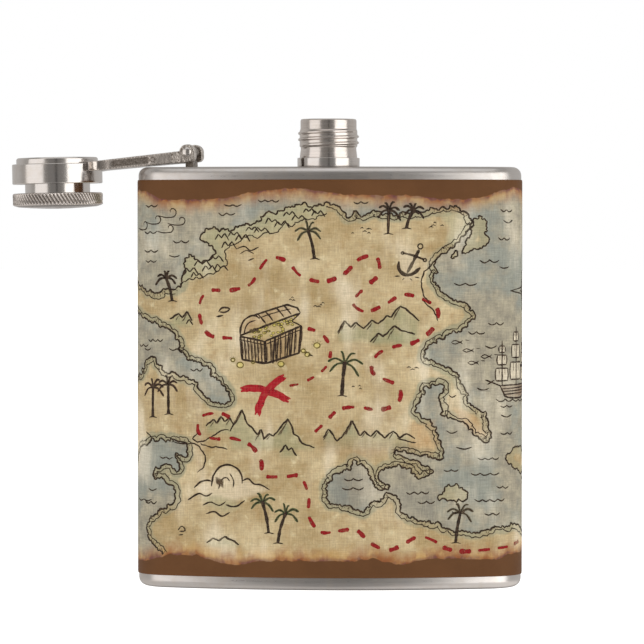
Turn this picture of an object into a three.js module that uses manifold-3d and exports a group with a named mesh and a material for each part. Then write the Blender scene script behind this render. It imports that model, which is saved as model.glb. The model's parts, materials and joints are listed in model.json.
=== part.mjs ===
// Hip flask with a captive screw cap, in millimetres, +Z up.
// Origin: where the neck's axis meets the underside of the base. The printed, bulging side faces -Y.
// The cap hangs open on its hinged arm over the -X end of the shoulder.

import * as THREE from 'three';
import { mergeVertices } from 'three/addons/utils/BufferGeometryUtils.js';
import Module from 'manifold-3d';

const wasm = await Module();
wasm.setup();

// Body: a sheet-steel tube of kidney section, closed by two pressed plates
const BODY_WIDTH = 93.5;
const BODY_HEIGHT = 102.2;
const BODY_THICKNESS = 20.6;
const BEND_RADIUS = 118; // of the section's centreline, about a line behind the flask
const SHEET = 0.6;
const PLATE_SHEET = 0.8;
const PLATE_SKIRT = 3.5; // height of each plate's turned edge
const PLATE_FILLET = 2.1;
const SEAM = 0.03; // clearance left at every welded or pressed seam
const WRAP_THICKNESS = 0.24;
const WRAP_MARGIN = 3.15; // bare steel left above and below the wrap
const WRAP_SEAM = 0.4; // gap where the wrap's ends meet behind

// Neck, heights above the shoulder
const NECK_HEIGHT = 11.6;
const NECK_BORE = 5.9;
const NECK_RADIUS = 6.8;
const NECK_FOOT_RADIUS = 6.95;
const NECK_TAIL = 2.2; // length inside the body
const THREAD_ROOT = 7.0;
const THREAD_DEPTH = 0.38;
const THREAD_PITCH = 1.5;
const THREAD_START = 5.1;
const THREAD_TURNS = 2.5;
const COLLAR_RING_RADIUS = 7.55;
const COLLAR_RING_HEIGHT = 2.2;
const COLLAR_RING_SPLIT = 1.1;
const COLLAR_RING_SPLIT_ANGLE = 217;

// Hinge: the pin lies level, square to the line from the hinge to the neck
const HINGE_X = -33.8;
const HINGE_Y = 6.2;
const PIN_HEIGHT = 3.65; // above the shoulder
const REACH = Math.hypot(HINGE_X, HINGE_Y); // pin to neck, and pin to cap
const OPEN_ANGLE = 181.1; // swing between the closed and the open arm
const PIN_RADIUS = 0.95;
const PIN_CLEARANCE = 0.1;
const KNUCKLE_RADIUS = 1.45;
const KNUCKLE_HALF = 2.3;
const POST_LEG = 1.95;
const EAR_RADIUS = 1.9;
const EAR_INNER = 2.45; // from the middle of the pin to an ear's inner face
const ARM_HALF = 4.75; // half the width of the clevis and the strap
const CLEVIS_SLOT = 2.5; // from the pin to the bottom of the slot between the ears
const CLEVIS_LENGTH = 3.85;

// Arm and cap, measured with the arm closed: u from the pin towards the neck, w up from the pin
const STRAP_LOW = -0.46;
const STRAP_LOW_SLOPE = 0.0887;
const STRAP_HIGH = 2.4;
const STRAP_HIGH_SLOPE = 0.0668;
const SADDLE_RADIUS = 12.5;
const SADDLE_ANGLE = 35;
const STRAP_FLARE_START = 19.5;
const POCKET_FROM = 10.1;
const POCKET_TO = 18.3;
const POCKET_DEPTH = 0.22;
const ARM_COLLAR_RADIUS = 11.1;
const ARM_COLLAR_BORE = 10.2;
const ARM_COLLAR_LOW = 2.04;
const ARM_COLLAR_HIGH = 6.97;
const LIP = 1.0;
const LIP_HOLE = 8.15;
const SKIRT_RADIUS = 10.05;
const SKIRT_LOW = 0.53;
const SKIRT_BORE = 7.95;
const STEM_RADIUS = 8.0;
const STEM_WIDE_BORE = 7.5;
const STEM_BORE = 7.05;
const STEM_STEP = 7.55; // where the wide bore ends
const HEAD_RADIUS = 11.1;
const HEAD_LOW = 9.22;
const HEAD_EDGE = 12.27;
const HEAD_TOP = 13.08;
const GASKET_LOW = 10.15;
const GASKET_THICKNESS = 1.0;
const CAP_THREAD_DEPTH = 0.22;

const ROUND = 40; // facets round a turned piece
const FINE_ROUND = 72;
const PIN_ROUND = 20;
const MERGE = 1e-4;
const FAR = 200; // longer than anything here, for trimming blocks
const rad = THREE.MathUtils.degToRad;

function toSolid(geometry) {
  const bare = geometry.clone();
  bare.deleteAttribute('normal');
  bare.deleteAttribute('uv');
  const merged = mergeVertices(bare, MERGE);
  return new wasm.Manifold(new wasm.Mesh({
    numProp: 3,
    vertProperties: new Float32Array(merged.attributes.position.array),
    triVerts: new Uint32Array(merged.index.array),
  }));
}

function toGeometry(solid) {
  const mesh = solid.getMesh();
  const geometry = new THREE.BufferGeometry();
  geometry.setAttribute('position', new THREE.BufferAttribute(mesh.vertProperties, 3));
  geometry.setIndex(new THREE.BufferAttribute(mesh.triVerts, 1));
  geometry.computeVertexNormals();
  return geometry;
}

// A closed profile of [radius, height] points, counter-clockwise, turned about +Z
function turned(profile, facets = ROUND) {
  const points = [...profile, profile[0]].map(([radius, height]) => new THREE.Vector2(radius, height));
  return toSolid(new THREE.LatheGeometry(points, facets).rotateX(Math.PI / 2));
}

// A long upright bar for cutting round holes
function turnedBar(radius, facets = ROUND) {
  return turned([[0, -FAR], [radius, -FAR], [radius, FAR], [0, FAR]], facets);
}

function block(width, depth, height, x, y, z) {
  return toSolid(new THREE.BoxGeometry(width, depth, height).translate(x, y, z));
}

function slab(shape, low, high) {
  const geometry = new THREE.ExtrudeGeometry(shape, { depth: high - low, bevelEnabled: false });
  return toSolid(geometry.translate(0, 0, low));
}

// A side view in (u, w), given a thickness across the arm
function acrossArm(shape, from, to) {
  const geometry = new THREE.ExtrudeGeometry(shape, { depth: to - from, bevelEnabled: false });
  return toSolid(geometry.rotateX(Math.PI / 2).translate(0, to, 0));
}

function arcPoints(x, y, radius, from, to, steps) {
  const points = [];
  for (let i = 0; i < steps; i += 1) {
    const angle = from + ((to - from) * i) / steps;
    points.push(new THREE.Vector2(x + radius * Math.cos(angle), y + radius * Math.sin(angle)));
  }
  return points;
}

// The kidney outline, grown outwards by offset
function kidney(offset = 0) {
  const endRadius = BODY_THICKNESS / 2;
  const radius = endRadius + offset;
  const sweep = Math.asin((BODY_WIDTH / 2 - endRadius) / BEND_RADIUS);
  const endX = BEND_RADIUS * Math.sin(sweep);
  const endY = BEND_RADIUS * (1 - Math.cos(sweep));
  const down = -Math.PI / 2;
  const up = Math.PI / 2;
  return new THREE.Shape([
    ...arcPoints(0, BEND_RADIUS, BEND_RADIUS + radius, down - sweep, down + sweep, 12),
    ...arcPoints(endX, endY, radius, down + sweep, up + sweep, 12),
    ...arcPoints(0, BEND_RADIUS, BEND_RADIUS - radius, down + sweep, down - sweep, 12),
    ...arcPoints(-endX, endY, radius, up - sweep, 3 * up - sweep, 12),
  ]);
}

// A kidney slab whose lower or upper edge is rounded
function roundedSlab(offset, low, high, fillet, roundTop) {
  const from = roundTop ? low - 2 * fillet : low;
  const to = roundTop ? high : high + 2 * fillet;
  const geometry = new THREE.ExtrudeGeometry(kidney(offset), {
    depth: to - from - 2 * fillet,
    bevelThickness: fillet,
    bevelSize: fillet,
    bevelOffset: -fillet,
    bevelSegments: 3,
  });
  const full = toSolid(geometry.translate(0, 0, from + fillet));
  return full.intersect(block(FAR, FAR, high - low, 0, 0, (low + high) / 2));
}

function plate(low, high, roundTop) {
  const outer = roundedSlab(0, low, high, PLATE_FILLET, roundTop);
  const hollowLow = roundTop ? low - 1 : low + PLATE_SHEET;
  const hollowHigh = roundTop ? high - PLATE_SHEET : high + 1;
  return outer.subtract(roundedSlab(-SHEET, hollowLow, hollowHigh, PLATE_FILLET - PLATE_SHEET, roundTop));
}

// A thread's ridge: a straight bar of its section, wound round the axis and faded out at both ends
function threadRidge(rootRadius, depth, side, startAngle, startHeight, turns) {
  const base = 0.46;
  const crest = 0.13;
  const buried = 0.12;
  const fade = 0.22;
  const stepsPerTurn = 24;
  const section = new THREE.Shape([
    new THREE.Vector2(-buried, -base),
    new THREE.Vector2(depth, -crest),
    new THREE.Vector2(depth, crest),
    new THREE.Vector2(-buried, base),
  ]);
  const bar = new THREE.ExtrudeGeometry(section, {
    depth: turns,
    steps: Math.round(turns * stepsPerTurn),
    bevelEnabled: false,
  });
  const place = bar.attributes.position;
  for (let i = 0; i < place.count; i += 1) {
    const turn = place.getZ(i);
    const strength = Math.min(1, turn / fade, (turns - turn) / fade);
    const out = place.getX(i);
    const radius = rootRadius + side * (out > 0 ? out * strength : out);
    const angle = startAngle + turn * 2 * Math.PI;
    const height = startHeight + turn * THREAD_PITCH - side * place.getY(i);
    place.setXYZ(i, radius * Math.cos(angle), radius * Math.sin(angle), height);
  }
  return toSolid(bar);
}

function baseGeometry() {
  return toGeometry(plate(0, PLATE_SKIRT, false));
}

function wallGeometry() {
  const tube = kidney(0);
  tube.holes.push(kidney(-SHEET));
  return toGeometry(slab(tube, PLATE_SKIRT + SEAM, BODY_HEIGHT - PLATE_SKIRT - SEAM));
}

function shoulderGeometry() {
  const top = plate(BODY_HEIGHT - PLATE_SKIRT, BODY_HEIGHT, true);
  return toGeometry(top.subtract(turnedBar(NECK_FOOT_RADIUS + SEAM)));
}

function wrapGeometry() {
  const sheet = kidney(SEAM + WRAP_THICKNESS);
  sheet.holes.push(kidney(SEAM));
  const seam = block(WRAP_SEAM, BODY_THICKNESS, BODY_HEIGHT, 0, BODY_THICKNESS, BODY_HEIGHT / 2);
  return toGeometry(slab(sheet, WRAP_MARGIN, BODY_HEIGHT - WRAP_MARGIN).subtract(seam));
}

function neckGeometry() {
  const waist = NECK_RADIUS - 0.05;
  const spout = turned([
    [NECK_BORE, -NECK_TAIL],
    [NECK_FOOT_RADIUS, -NECK_TAIL],
    [NECK_FOOT_RADIUS, COLLAR_RING_HEIGHT + 0.4],
    [waist, 4.2],
    [waist, 4.7],
    [THREAD_ROOT, 5.0],
    [THREAD_ROOT, 8.7],
    [NECK_RADIUS, 9.2],
    [NECK_RADIUS, NECK_HEIGHT - 0.45],
    [NECK_RADIUS - 0.13, NECK_HEIGHT - 0.13],
    [NECK_RADIUS - 0.4, NECK_HEIGHT],
    [NECK_BORE + 0.15, NECK_HEIGHT],
    [NECK_BORE, NECK_HEIGHT - 0.15],
  ]);
  const ridge = threadRidge(THREAD_ROOT, THREAD_DEPTH, 1, Math.PI, THREAD_START, THREAD_TURNS);
  return toGeometry(spout.add(ridge));
}

function collarRingGeometry() {
  const ring = turned([
    [NECK_FOOT_RADIUS + SEAM, SEAM],
    [COLLAR_RING_RADIUS, SEAM],
    [COLLAR_RING_RADIUS, COLLAR_RING_HEIGHT - 0.2],
    [COLLAR_RING_RADIUS - 0.2, COLLAR_RING_HEIGHT],
    [NECK_FOOT_RADIUS + SEAM, COLLAR_RING_HEIGHT],
  ]);
  const split = new THREE.BoxGeometry(COLLAR_RING_RADIUS, COLLAR_RING_SPLIT, FAR);
  split.translate(COLLAR_RING_RADIUS, 0, 0).rotateZ(rad(COLLAR_RING_SPLIT_ANGLE));
  return toGeometry(ring.subtract(toSolid(split)));
}

// Round bar or hole along the pin, between two places across the arm
function alongPin(radius, from, to, facets = PIN_ROUND) {
  const bar = new THREE.CylinderGeometry(radius, radius, to - from, facets);
  return toSolid(bar.translate(0, (from + to) / 2, 0));
}

function postGeometry() {
  const leg = block(POST_LEG, 2 * KNUCKLE_HALF, PIN_HEIGHT - SEAM, 0, 0, (SEAM - PIN_HEIGHT) / 2);
  const knuckle = alongPin(KNUCKLE_RADIUS, -KNUCKLE_HALF, KNUCKLE_HALF);
  const bore = alongPin(PIN_RADIUS + PIN_CLEARANCE, -FAR, FAR);
  return toGeometry(leg.add(knuckle).subtract(bore));
}

function pinGeometry() {
  const face = ARM_HALF + SEAM;
  const front = 1.25;
  const back = 1.5;
  const profile = [
    [0, -face - 0.55],
    [0.6, -face - 0.48],
    [1.05, -face - 0.25],
    [front, -face],
    [PIN_RADIUS, -face],
    [PIN_RADIUS, face],
    [back, face],
    [back, face + 0.6],
    [1.1, face + 1.0],
    [0.5, face + 1.15],
    [0, face + 1.17],
  ];
  const points = profile.map(([radius, along]) => new THREE.Vector2(radius, along));
  return toGeometry(toSolid(new THREE.LatheGeometry(points, PIN_ROUND)));
}

const strapLow = (u) => STRAP_LOW + STRAP_LOW_SLOPE * u;
const strapHigh = (u) => STRAP_HIGH + STRAP_HIGH_SLOPE * u;

function clevisGeometry() {
  const side = new THREE.Shape();
  const nose = 1.0;
  side.moveTo(CLEVIS_LENGTH, strapHigh(CLEVIS_LENGTH));
  side.lineTo(-0.5, STRAP_HIGH);
  side.quadraticCurveTo(-EAR_RADIUS, STRAP_HIGH, -EAR_RADIUS, nose);
  side.lineTo(-EAR_RADIUS, 0);
  side.absarc(0, 0, EAR_RADIUS, Math.PI, 2 * Math.PI - 0.15, false);
  side.lineTo(CLEVIS_LENGTH, strapLow(CLEVIS_LENGTH));
  const body = acrossArm(side, -ARM_HALF, ARM_HALF);
  const slotLength = 2 * EAR_RADIUS + CLEVIS_SLOT;
  const slot = block(slotLength, 2 * EAR_INNER, FAR, CLEVIS_SLOT - slotLength / 2, 0, 0);
  const hole = alongPin(PIN_RADIUS + SEAM, -FAR, FAR);
  return toGeometry(body.subtract(slot).subtract(hole));
}

function strapGeometry() {
  const start = CLEVIS_LENGTH + SEAM;
  const end = REACH - 4;
  const side = new THREE.Shape([
    new THREE.Vector2(start, strapLow(start)),
    new THREE.Vector2(end, strapLow(end)),
    new THREE.Vector2(end, strapHigh(end)),
    new THREE.Vector2(start, strapHigh(start)),
  ]);
  const tipU = REACH - SADDLE_RADIUS * Math.cos(rad(SADDLE_ANGLE));
  const tipV = SADDLE_RADIUS * Math.sin(rad(SADDLE_ANGLE));
  const shoulderU = REACH - SADDLE_RADIUS * 0.93;
  const plan = new THREE.Shape();
  plan.moveTo(start, -ARM_HALF);
  plan.lineTo(STRAP_FLARE_START, -ARM_HALF);
  plan.bezierCurveTo(shoulderU - 1, -ARM_HALF, shoulderU + 0.6, -tipV * 0.62, tipU, -tipV);
  plan.lineTo(REACH, 0);
  plan.lineTo(tipU, tipV);
  plan.bezierCurveTo(shoulderU + 0.6, tipV * 0.62, shoulderU - 1, ARM_HALF, STRAP_FLARE_START, ARM_HALF);
  plan.lineTo(start, ARM_HALF);
  const seat = turnedBar(ARM_COLLAR_RADIUS + 2 * SEAM, FINE_ROUND).translate([REACH, 0, 0]);
  const pocketHalf = 0.75;
  const middle = (u) => (strapLow(u) + strapHigh(u)) / 2;
  const tilt = Math.atan((STRAP_LOW_SLOPE + STRAP_HIGH_SLOPE) / 2);
  const pocket = new THREE.Shape();
  pocket.absarc(POCKET_FROM, middle(POCKET_FROM), pocketHalf, Math.PI / 2 + tilt, 1.5 * Math.PI + tilt);
  pocket.absarc(POCKET_TO, middle(POCKET_TO), pocketHalf, -Math.PI / 2 + tilt, Math.PI / 2 + tilt);
  const strap = acrossArm(side, -SADDLE_RADIUS, SADDLE_RADIUS)
    .intersect(slab(plan, -FAR, FAR))
    .subtract(seat);
  return toGeometry(strap
    .subtract(acrossArm(pocket, ARM_HALF - POCKET_DEPTH, FAR))
    .subtract(acrossArm(pocket, -FAR, POCKET_DEPTH - ARM_HALF)));
}

function armCollarGeometry() {
  const lipLow = ARM_COLLAR_HIGH - LIP;
  return toGeometry(turned([
    [ARM_COLLAR_BORE, ARM_COLLAR_LOW],
    [ARM_COLLAR_RADIUS - 0.25, ARM_COLLAR_LOW],
    [ARM_COLLAR_RADIUS, ARM_COLLAR_LOW + 0.25],
    [ARM_COLLAR_RADIUS, ARM_COLLAR_HIGH - 0.25],
    [ARM_COLLAR_RADIUS - 0.25, ARM_COLLAR_HIGH],
    [LIP_HOLE, ARM_COLLAR_HIGH],
    [LIP_HOLE, lipLow],
    [ARM_COLLAR_BORE, lipLow],
  ]));
}

function headGeometry() {
  const recess = STEM_RADIUS + SEAM;
  const roof = GASKET_LOW + GASKET_THICKNESS + SEAM;
  return toGeometry(turned([
    [recess, HEAD_LOW],
    [HEAD_RADIUS - 0.35, HEAD_LOW],
    [HEAD_RADIUS, HEAD_LOW + 0.35],
    [HEAD_RADIUS, HEAD_EDGE - 0.35],
    [HEAD_RADIUS - 0.35, HEAD_EDGE],
    [9.6, HEAD_EDGE + 0.35],
    [6.5, HEAD_TOP - 0.22],
    [3, HEAD_TOP - 0.05],
    [0, HEAD_TOP],
    [0, roof],
    [recess, roof],
  ]));
}

function barrelGeometry() {
  const flange = ARM_COLLAR_HIGH - LIP - 2 * SEAM;
  const tube = turned([
    [SKIRT_BORE, SKIRT_LOW],
    [SKIRT_RADIUS - 0.35, SKIRT_LOW],
    [SKIRT_RADIUS, SKIRT_LOW + 0.35],
    [SKIRT_RADIUS, flange],
    [STEM_RADIUS, flange],
    [STEM_RADIUS, GASKET_LOW - SEAM],
    [STEM_BORE, GASKET_LOW - SEAM],
    [STEM_BORE, STEM_STEP],
    [STEM_WIDE_BORE, STEM_STEP - 0.3],
    [STEM_WIDE_BORE, flange - 0.4],
    [SKIRT_BORE, flange - 0.8],
  ]);
  const turns = 1.4;
  const start = 2.6;
  return toGeometry(tube.add(threadRidge(SKIRT_BORE, CAP_THREAD_DEPTH, -1, 0, start, turns)));
}

function gasketGeometry() {
  const radius = STEM_RADIUS - SEAM;
  return toGeometry(turned([
    [0, GASKET_LOW],
    [radius, GASKET_LOW],
    [radius, GASKET_LOW + GASKET_THICKNESS],
    [0, GASKET_LOW + GASKET_THICKNESS],
  ], 36));
}

const finishes = {
  brushedSteel: new THREE.MeshStandardMaterial({ color: 0xb9b4ae, roughness: 0.35, metalness: 1 }),
  polishedSteel: new THREE.MeshStandardMaterial({ color: 0xc9c4bd, roughness: 0.15, metalness: 1 }),
  castSteel: new THREE.MeshStandardMaterial({ color: 0xa39a8e, roughness: 0.45, metalness: 1 }),
  printedWrap: new THREE.MeshStandardMaterial({ color: 0xbfa57c, roughness: 0.6, metalness: 0 }),
  siliconeSeal: new THREE.MeshStandardMaterial({ color: 0xd8d6d0, roughness: 0.6, metalness: 0 }),
};

function piece(name, geometry, finish) {
  const mesh = new THREE.Mesh(geometry, finishes[finish]);
  mesh.name = name;
  return mesh;
}

const flask = new THREE.Group();
flask.add(piece('base_plate', baseGeometry(), 'brushedSteel'));
flask.add(piece('body_wall', wallGeometry(), 'brushedSteel'));
flask.add(piece('shoulder_plate', shoulderGeometry(), 'brushedSteel'));
flask.add(piece('printed_wrap', wrapGeometry(), 'printedWrap'));

const neck = new THREE.Group();
neck.position.z = BODY_HEIGHT;
neck.add(piece('neck_spout', neckGeometry(), 'polishedSteel'));
neck.add(piece('neck_collar', collarRingGeometry(), 'polishedSteel'));
flask.add(neck);

const hinge = new THREE.Group();
hinge.position.set(HINGE_X, HINGE_Y, BODY_HEIGHT + PIN_HEIGHT);
hinge.rotation.z = Math.atan2(-HINGE_Y, -HINGE_X);
hinge.add(piece('hinge_post', postGeometry(), 'castSteel'));
flask.add(hinge);

const arm = new THREE.Group();
arm.rotation.y = rad(-OPEN_ANGLE);
arm.add(piece('hinge_pin', pinGeometry(), 'polishedSteel'));
arm.add(piece('hinge_clevis', clevisGeometry(), 'castSteel'));
arm.add(piece('arm_strap', strapGeometry(), 'castSteel'));
hinge.add(arm);

const cap = new THREE.Group();
cap.position.x = REACH;
cap.add(piece('arm_collar', armCollarGeometry(), 'polishedSteel'));
cap.add(piece('cap_head', headGeometry(), 'polishedSteel'));
cap.add(piece('cap_barrel', barrelGeometry(), 'polishedSteel'));
cap.add(piece('cap_gasket', gasketGeometry(), 'siliconeSeal'));
arm.add(cap);

export default flask;
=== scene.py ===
import json
import math
import random

import bmesh
import bpy
import numpy as np
from mathutils import Matrix, Vector, noise


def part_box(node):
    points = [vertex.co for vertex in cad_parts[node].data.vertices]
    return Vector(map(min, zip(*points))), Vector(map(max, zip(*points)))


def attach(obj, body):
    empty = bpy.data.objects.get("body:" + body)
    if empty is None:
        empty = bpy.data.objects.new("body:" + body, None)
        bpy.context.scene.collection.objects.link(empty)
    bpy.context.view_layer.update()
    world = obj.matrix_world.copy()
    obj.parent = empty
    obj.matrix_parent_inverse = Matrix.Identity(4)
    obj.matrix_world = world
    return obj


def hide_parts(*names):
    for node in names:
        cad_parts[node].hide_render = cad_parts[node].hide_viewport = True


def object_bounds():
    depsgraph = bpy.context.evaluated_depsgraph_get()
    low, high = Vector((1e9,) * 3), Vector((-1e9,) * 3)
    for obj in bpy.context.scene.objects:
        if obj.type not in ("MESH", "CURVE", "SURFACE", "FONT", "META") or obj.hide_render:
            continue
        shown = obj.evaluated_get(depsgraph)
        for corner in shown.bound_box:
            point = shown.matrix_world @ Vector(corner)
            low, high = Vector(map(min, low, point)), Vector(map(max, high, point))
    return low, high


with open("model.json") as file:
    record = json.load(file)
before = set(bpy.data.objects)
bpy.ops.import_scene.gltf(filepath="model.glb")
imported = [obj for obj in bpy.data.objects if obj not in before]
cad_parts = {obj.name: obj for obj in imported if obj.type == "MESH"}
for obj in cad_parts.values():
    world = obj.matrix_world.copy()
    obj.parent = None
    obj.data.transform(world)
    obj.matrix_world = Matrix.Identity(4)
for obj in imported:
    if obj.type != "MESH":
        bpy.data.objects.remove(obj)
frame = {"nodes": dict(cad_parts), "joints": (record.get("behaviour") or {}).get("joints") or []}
cad_low, cad_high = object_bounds()

MM = 0.001
TURN = 2 * math.pi
rad = math.radians
scene = bpy.context.scene
joints = {joint["name"]: joint for joint in frame["joints"]}


def height_of(node, top=True):
    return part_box(node)[1 if top else 0].z / MM


# The flask's section: a sheet bent round a line behind it, with round ends. All sizes in millimetres
SHOULDER = height_of("shoulder_plate")
PRINT_LOW = height_of("printed_wrap", top=False)
PRINT_HIGH = height_of("printed_wrap")
BEND = 118.0
END = 10.3
END_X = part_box("base_plate")[1].x / MM - END
SWEEP = math.asin(END_X / BEND)
PRINT_OUT = 0.27
FRONT_RUN = (BEND + END + PRINT_OUT) * SWEEP
END_RUN = math.pi * (END + PRINT_OUT)
REAR_RUN = (BEND - END - PRINT_OUT) * SWEEP
HALF_ROUND = FRONT_RUN + END_RUN + REAR_RUN
PLATE_SKIRT = 3.5
PLATE_FILLET = 2.1
PLATE_SHEET = 0.8
WALL_SHEET = 0.6
PRINT_SEAM = 0.2

# The neck, heights above the shoulder
NECK_TOP = height_of("neck_spout") - SHOULDER
NECK_BORE = 5.9
NECK_HOLE = 6.98
THREAD_ROOT = 7.0
THREAD_DEPTH = 0.38
THREAD_PITCH = 1.5
THREAD_START = 5.1
THREAD_TURNS = 2.5
NECK_COLLAR = 7.55
NECK_COLLAR_TOP = 2.2
NECK_COLLAR_SPLIT = 1.1
NECK_COLLAR_SPLIT_AT = 217.0

# The arm and the cap: x along the arm from the pin, y across it, z towards the cap's head
REACH = 34.36
KNURLS = 76
KNURL_DEPTH = 0.42
KNURL_LEAN = 0.68
KNURL_MIDDLE = 10.7
HEAD = 11.1
GRIP_LOW = 9.5
GRIP_HIGH = 12.0
CAP_THREAD_START = 2.6
CAP_THREAD_TURNS = 1.4
CAP_THREAD_DEPTH = 0.22

# Threads: half the ridge's width, the width of its flank, and the share of a turn in which it fades out
RIDGE_HALF = 0.46
RIDGE_FLANK = 0.33
NECK_THREAD_FADE = 0.22
CAP_THREAD_FADE = 0.2


def srgb(red, green, blue):
    """A screen colour, 0 to 255, as the linear colour the shaders take."""
    line = [c / 255 for c in (red, green, blue)]
    return tuple(((c + 0.055) / 1.055) ** 2.4 if c > 0.04 else c / 12.92 for c in line) + (1.0,)


def kidney(run, out):
    """A place on the section, by the run along the print from the middle of the front, out from the wall."""
    run = np.asarray(run, float)
    far = np.abs(run)
    front = far <= FRONT_RUN
    rear = far > FRONT_RUN + END_RUN
    turn = np.where(front, far / (BEND + END + PRINT_OUT), SWEEP + (far - FRONT_RUN) / (END + PRINT_OUT))
    past = (far - FRONT_RUN - END_RUN) / (BEND - END - PRINT_OUT)
    turn = np.where(rear, SWEEP + math.pi - past, turn)
    lean = np.where(front, turn, np.where(rear, turn - math.pi, SWEEP))
    x = BEND * np.sin(lean) + (END + out) * np.sin(turn)
    y = BEND * (1 - np.cos(lean)) - (END + out) * np.cos(turn)
    return np.where(run < 0, -x, x), y


def length_along(line):
    """The distance along a line, at each of its points."""
    return np.concatenate([[0], np.cumsum(np.hypot(*np.diff(line, axis=0).T))])


def loft(rings, closed=False):
    """Equal rings joined in order. Closed joins the last to the first, otherwise both ends are capped."""
    count = len(rings[0])
    points = np.concatenate(rings)
    faces = []
    for i in range(len(rings) if closed else len(rings) - 1):
        a, b = i * count, (i + 1) % len(rings) * count
        faces += [(a + j, a + (j + 1) % count, b + (j + 1) % count, b + j) for j in range(count)]
    if not closed:
        last = (len(rings) - 1) * count
        faces += [tuple(range(count - 1, -1, -1)), tuple(range(last, last + count))]
    return points, faces


def eased(corners, reach, steps, spacing):
    """A closed outline with its corners eased and its long sides divided."""
    corners = [Vector(c) for c in corners]
    points = []
    for i, corner in enumerate(corners):
        before, after = corners[i - 1] - corner, corners[(i + 1) % len(corners)] - corner
        ease = min(reach, 0.4 * before.length, 0.4 * after.length)
        if corner.x < 1e-6:
            ease = 0
        start, end = corner + before.normalized() * ease, corner + after.normalized() * ease
        bends = [k / steps for k in range(steps + 1)] if ease else [0.0]
        points += [(1 - t) ** 2 * start + 2 * t * (1 - t) * corner + t * t * end for t in bends]
    divided = []
    for i, point in enumerate(points):
        after = points[(i + 1) % len(points)]
        cuts = max(1, math.ceil((after - point).length / spacing))
        divided += [point.lerp(after, k / cuts) for k in range(cuts)]
    return divided


def lathe(profile, around, form=None):
    """A closed (radius, height) outline turned about the axis, with its turning marks' coordinates."""
    radius = np.array([p[0] for p in profile])
    height = np.array([p[1] for p in profile])
    length = length_along(np.stack([radius, height], 1))
    rings, marks = [], []
    for angle in np.arange(around) * 2 * math.pi / around:
        r = form(angle, radius, height) if form else radius
        rings.append(np.stack([r * math.cos(angle), r * math.sin(angle), height], 1))
        side = np.full(len(radius), 0.35)
        marks.append(np.stack([side * math.cos(angle), side * math.sin(angle), length], 1))
    points, faces = loft(rings, closed=True)
    return points, faces, np.concatenate(marks)


def place_of(origin, along, across, up):
    """The matrix from a part's own axes, in millimetres, to the flask's frame."""
    made = Matrix((along, across, up)).transposed().to_4x4() @ Matrix.Diagonal((MM, MM, MM, 1))
    made.translation = origin
    return made


STAND = Matrix.Diagonal((MM, MM, MM, 1))
NECK = Matrix.Translation((0, 0, SHOULDER * MM)) @ STAND
pin_at = Vector(joints["arm_hinge"]["pos_m"])
pin_line = Vector(joints["arm_hinge"]["axis"])
cap_line = Vector(joints["cap_turn"]["axis"])
arm_line = pin_line.cross(-cap_line)
ARM = place_of(pin_at, arm_line, pin_line, -cap_line)
CAP = place_of(pin_at + arm_line * REACH * MM, arm_line, pin_line, -cap_line)
PIN = place_of(pin_at, -cap_line, arm_line, pin_line)


def solid(name, points, faces, finish, marks, place=STAND, tints=None, values=None, sharp=38):
    """A closed mesh with its finish. marks are the coordinates that the finish is laid out on."""
    mesh = bpy.data.meshes.new(name)
    mesh.from_pydata(np.asarray(points, float).tolist(), [], [tuple(map(int, f)) for f in faces])
    flat = np.asarray(marks, np.float32).ravel()
    mesh.attributes.new("marks", "FLOAT_VECTOR", "POINT").data.foreach_set("vector", flat)
    for label, numbers in (values or {}).items():
        flat = np.asarray(numbers, np.float32).ravel()
        mesh.attributes.new(label, "FLOAT", "POINT").data.foreach_set("value", flat)
    for label, colours in (tints or {}).items():
        flat = np.asarray(colours, np.float32).ravel()
        mesh.attributes.new(label, "FLOAT_COLOR", "POINT").data.foreach_set("color", flat)
    mesh.transform(place)
    work = bmesh.new()
    work.from_mesh(mesh)
    bmesh.ops.remove_doubles(work, verts=work.verts, dist=1e-7)
    bmesh.ops.recalc_face_normals(work, faces=work.faces)
    work.to_mesh(mesh)
    work.free()
    mesh.shade_smooth()
    mesh.set_sharp_from_angle(angle=rad(sharp))
    mesh.materials.append(finish)
    made = bpy.data.objects.new(name, mesh)
    scene.collection.objects.link(made)
    return made


def fit(made, body, node):
    """The piece rides on its body and stands for its CAD node."""
    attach(made, body)
    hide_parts(node)


# Node helpers


def add(tree, kind, inputs=None, **settings):
    made = tree.nodes.new(kind)
    for key, value in settings.items():
        setattr(made, key, value)
    for key, value in (inputs or {}).items():
        if isinstance(value, bpy.types.NodeSocket):
            tree.links.new(value, made.inputs[key])
        else:
            made.inputs[key].default_value = value
    return made


def effect(name, inputs, outputs):
    """A named group of shader nodes, and its two ends."""
    tree = bpy.data.node_groups.new(name, "ShaderNodeTree")
    for label, kind, value in inputs:
        socket = tree.interface.new_socket(label, in_out="INPUT", socket_type="NodeSocket" + kind)
        if value is not None:
            socket.default_value = value
    for label, kind in outputs:
        tree.interface.new_socket(label, in_out="OUTPUT", socket_type="NodeSocket" + kind)
    return tree, tree.nodes.new("NodeGroupInput").outputs, tree.nodes.new("NodeGroupOutput").inputs


def use(tree, group, **inputs):
    """A shared effect in a material, with that material's own values."""
    return add(tree, "ShaderNodeGroup", inputs, node_tree=group).outputs


def maths(tree, how, *terms, clamp=False):
    return add(tree, "ShaderNodeMath", dict(enumerate(terms)), operation=how, use_clamp=clamp).outputs[0]


def rise(tree, value, low, high, start=0.0, end=1.0):
    """Eases from start to end as value goes from low to high."""
    ends = {"Value": value, "From Min": low, "From Max": high, "To Min": start, "To Max": end}
    return add(tree, "ShaderNodeMapRange", ends, interpolation_type="SMOOTHSTEP").outputs[0]


def mix(tree, amount, under, over, how="MIX"):
    made = add(tree, "ShaderNodeMix", {0: amount, 6: under, 7: over}, data_type="RGBA", blend_type=how)
    return made.outputs[2]


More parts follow.
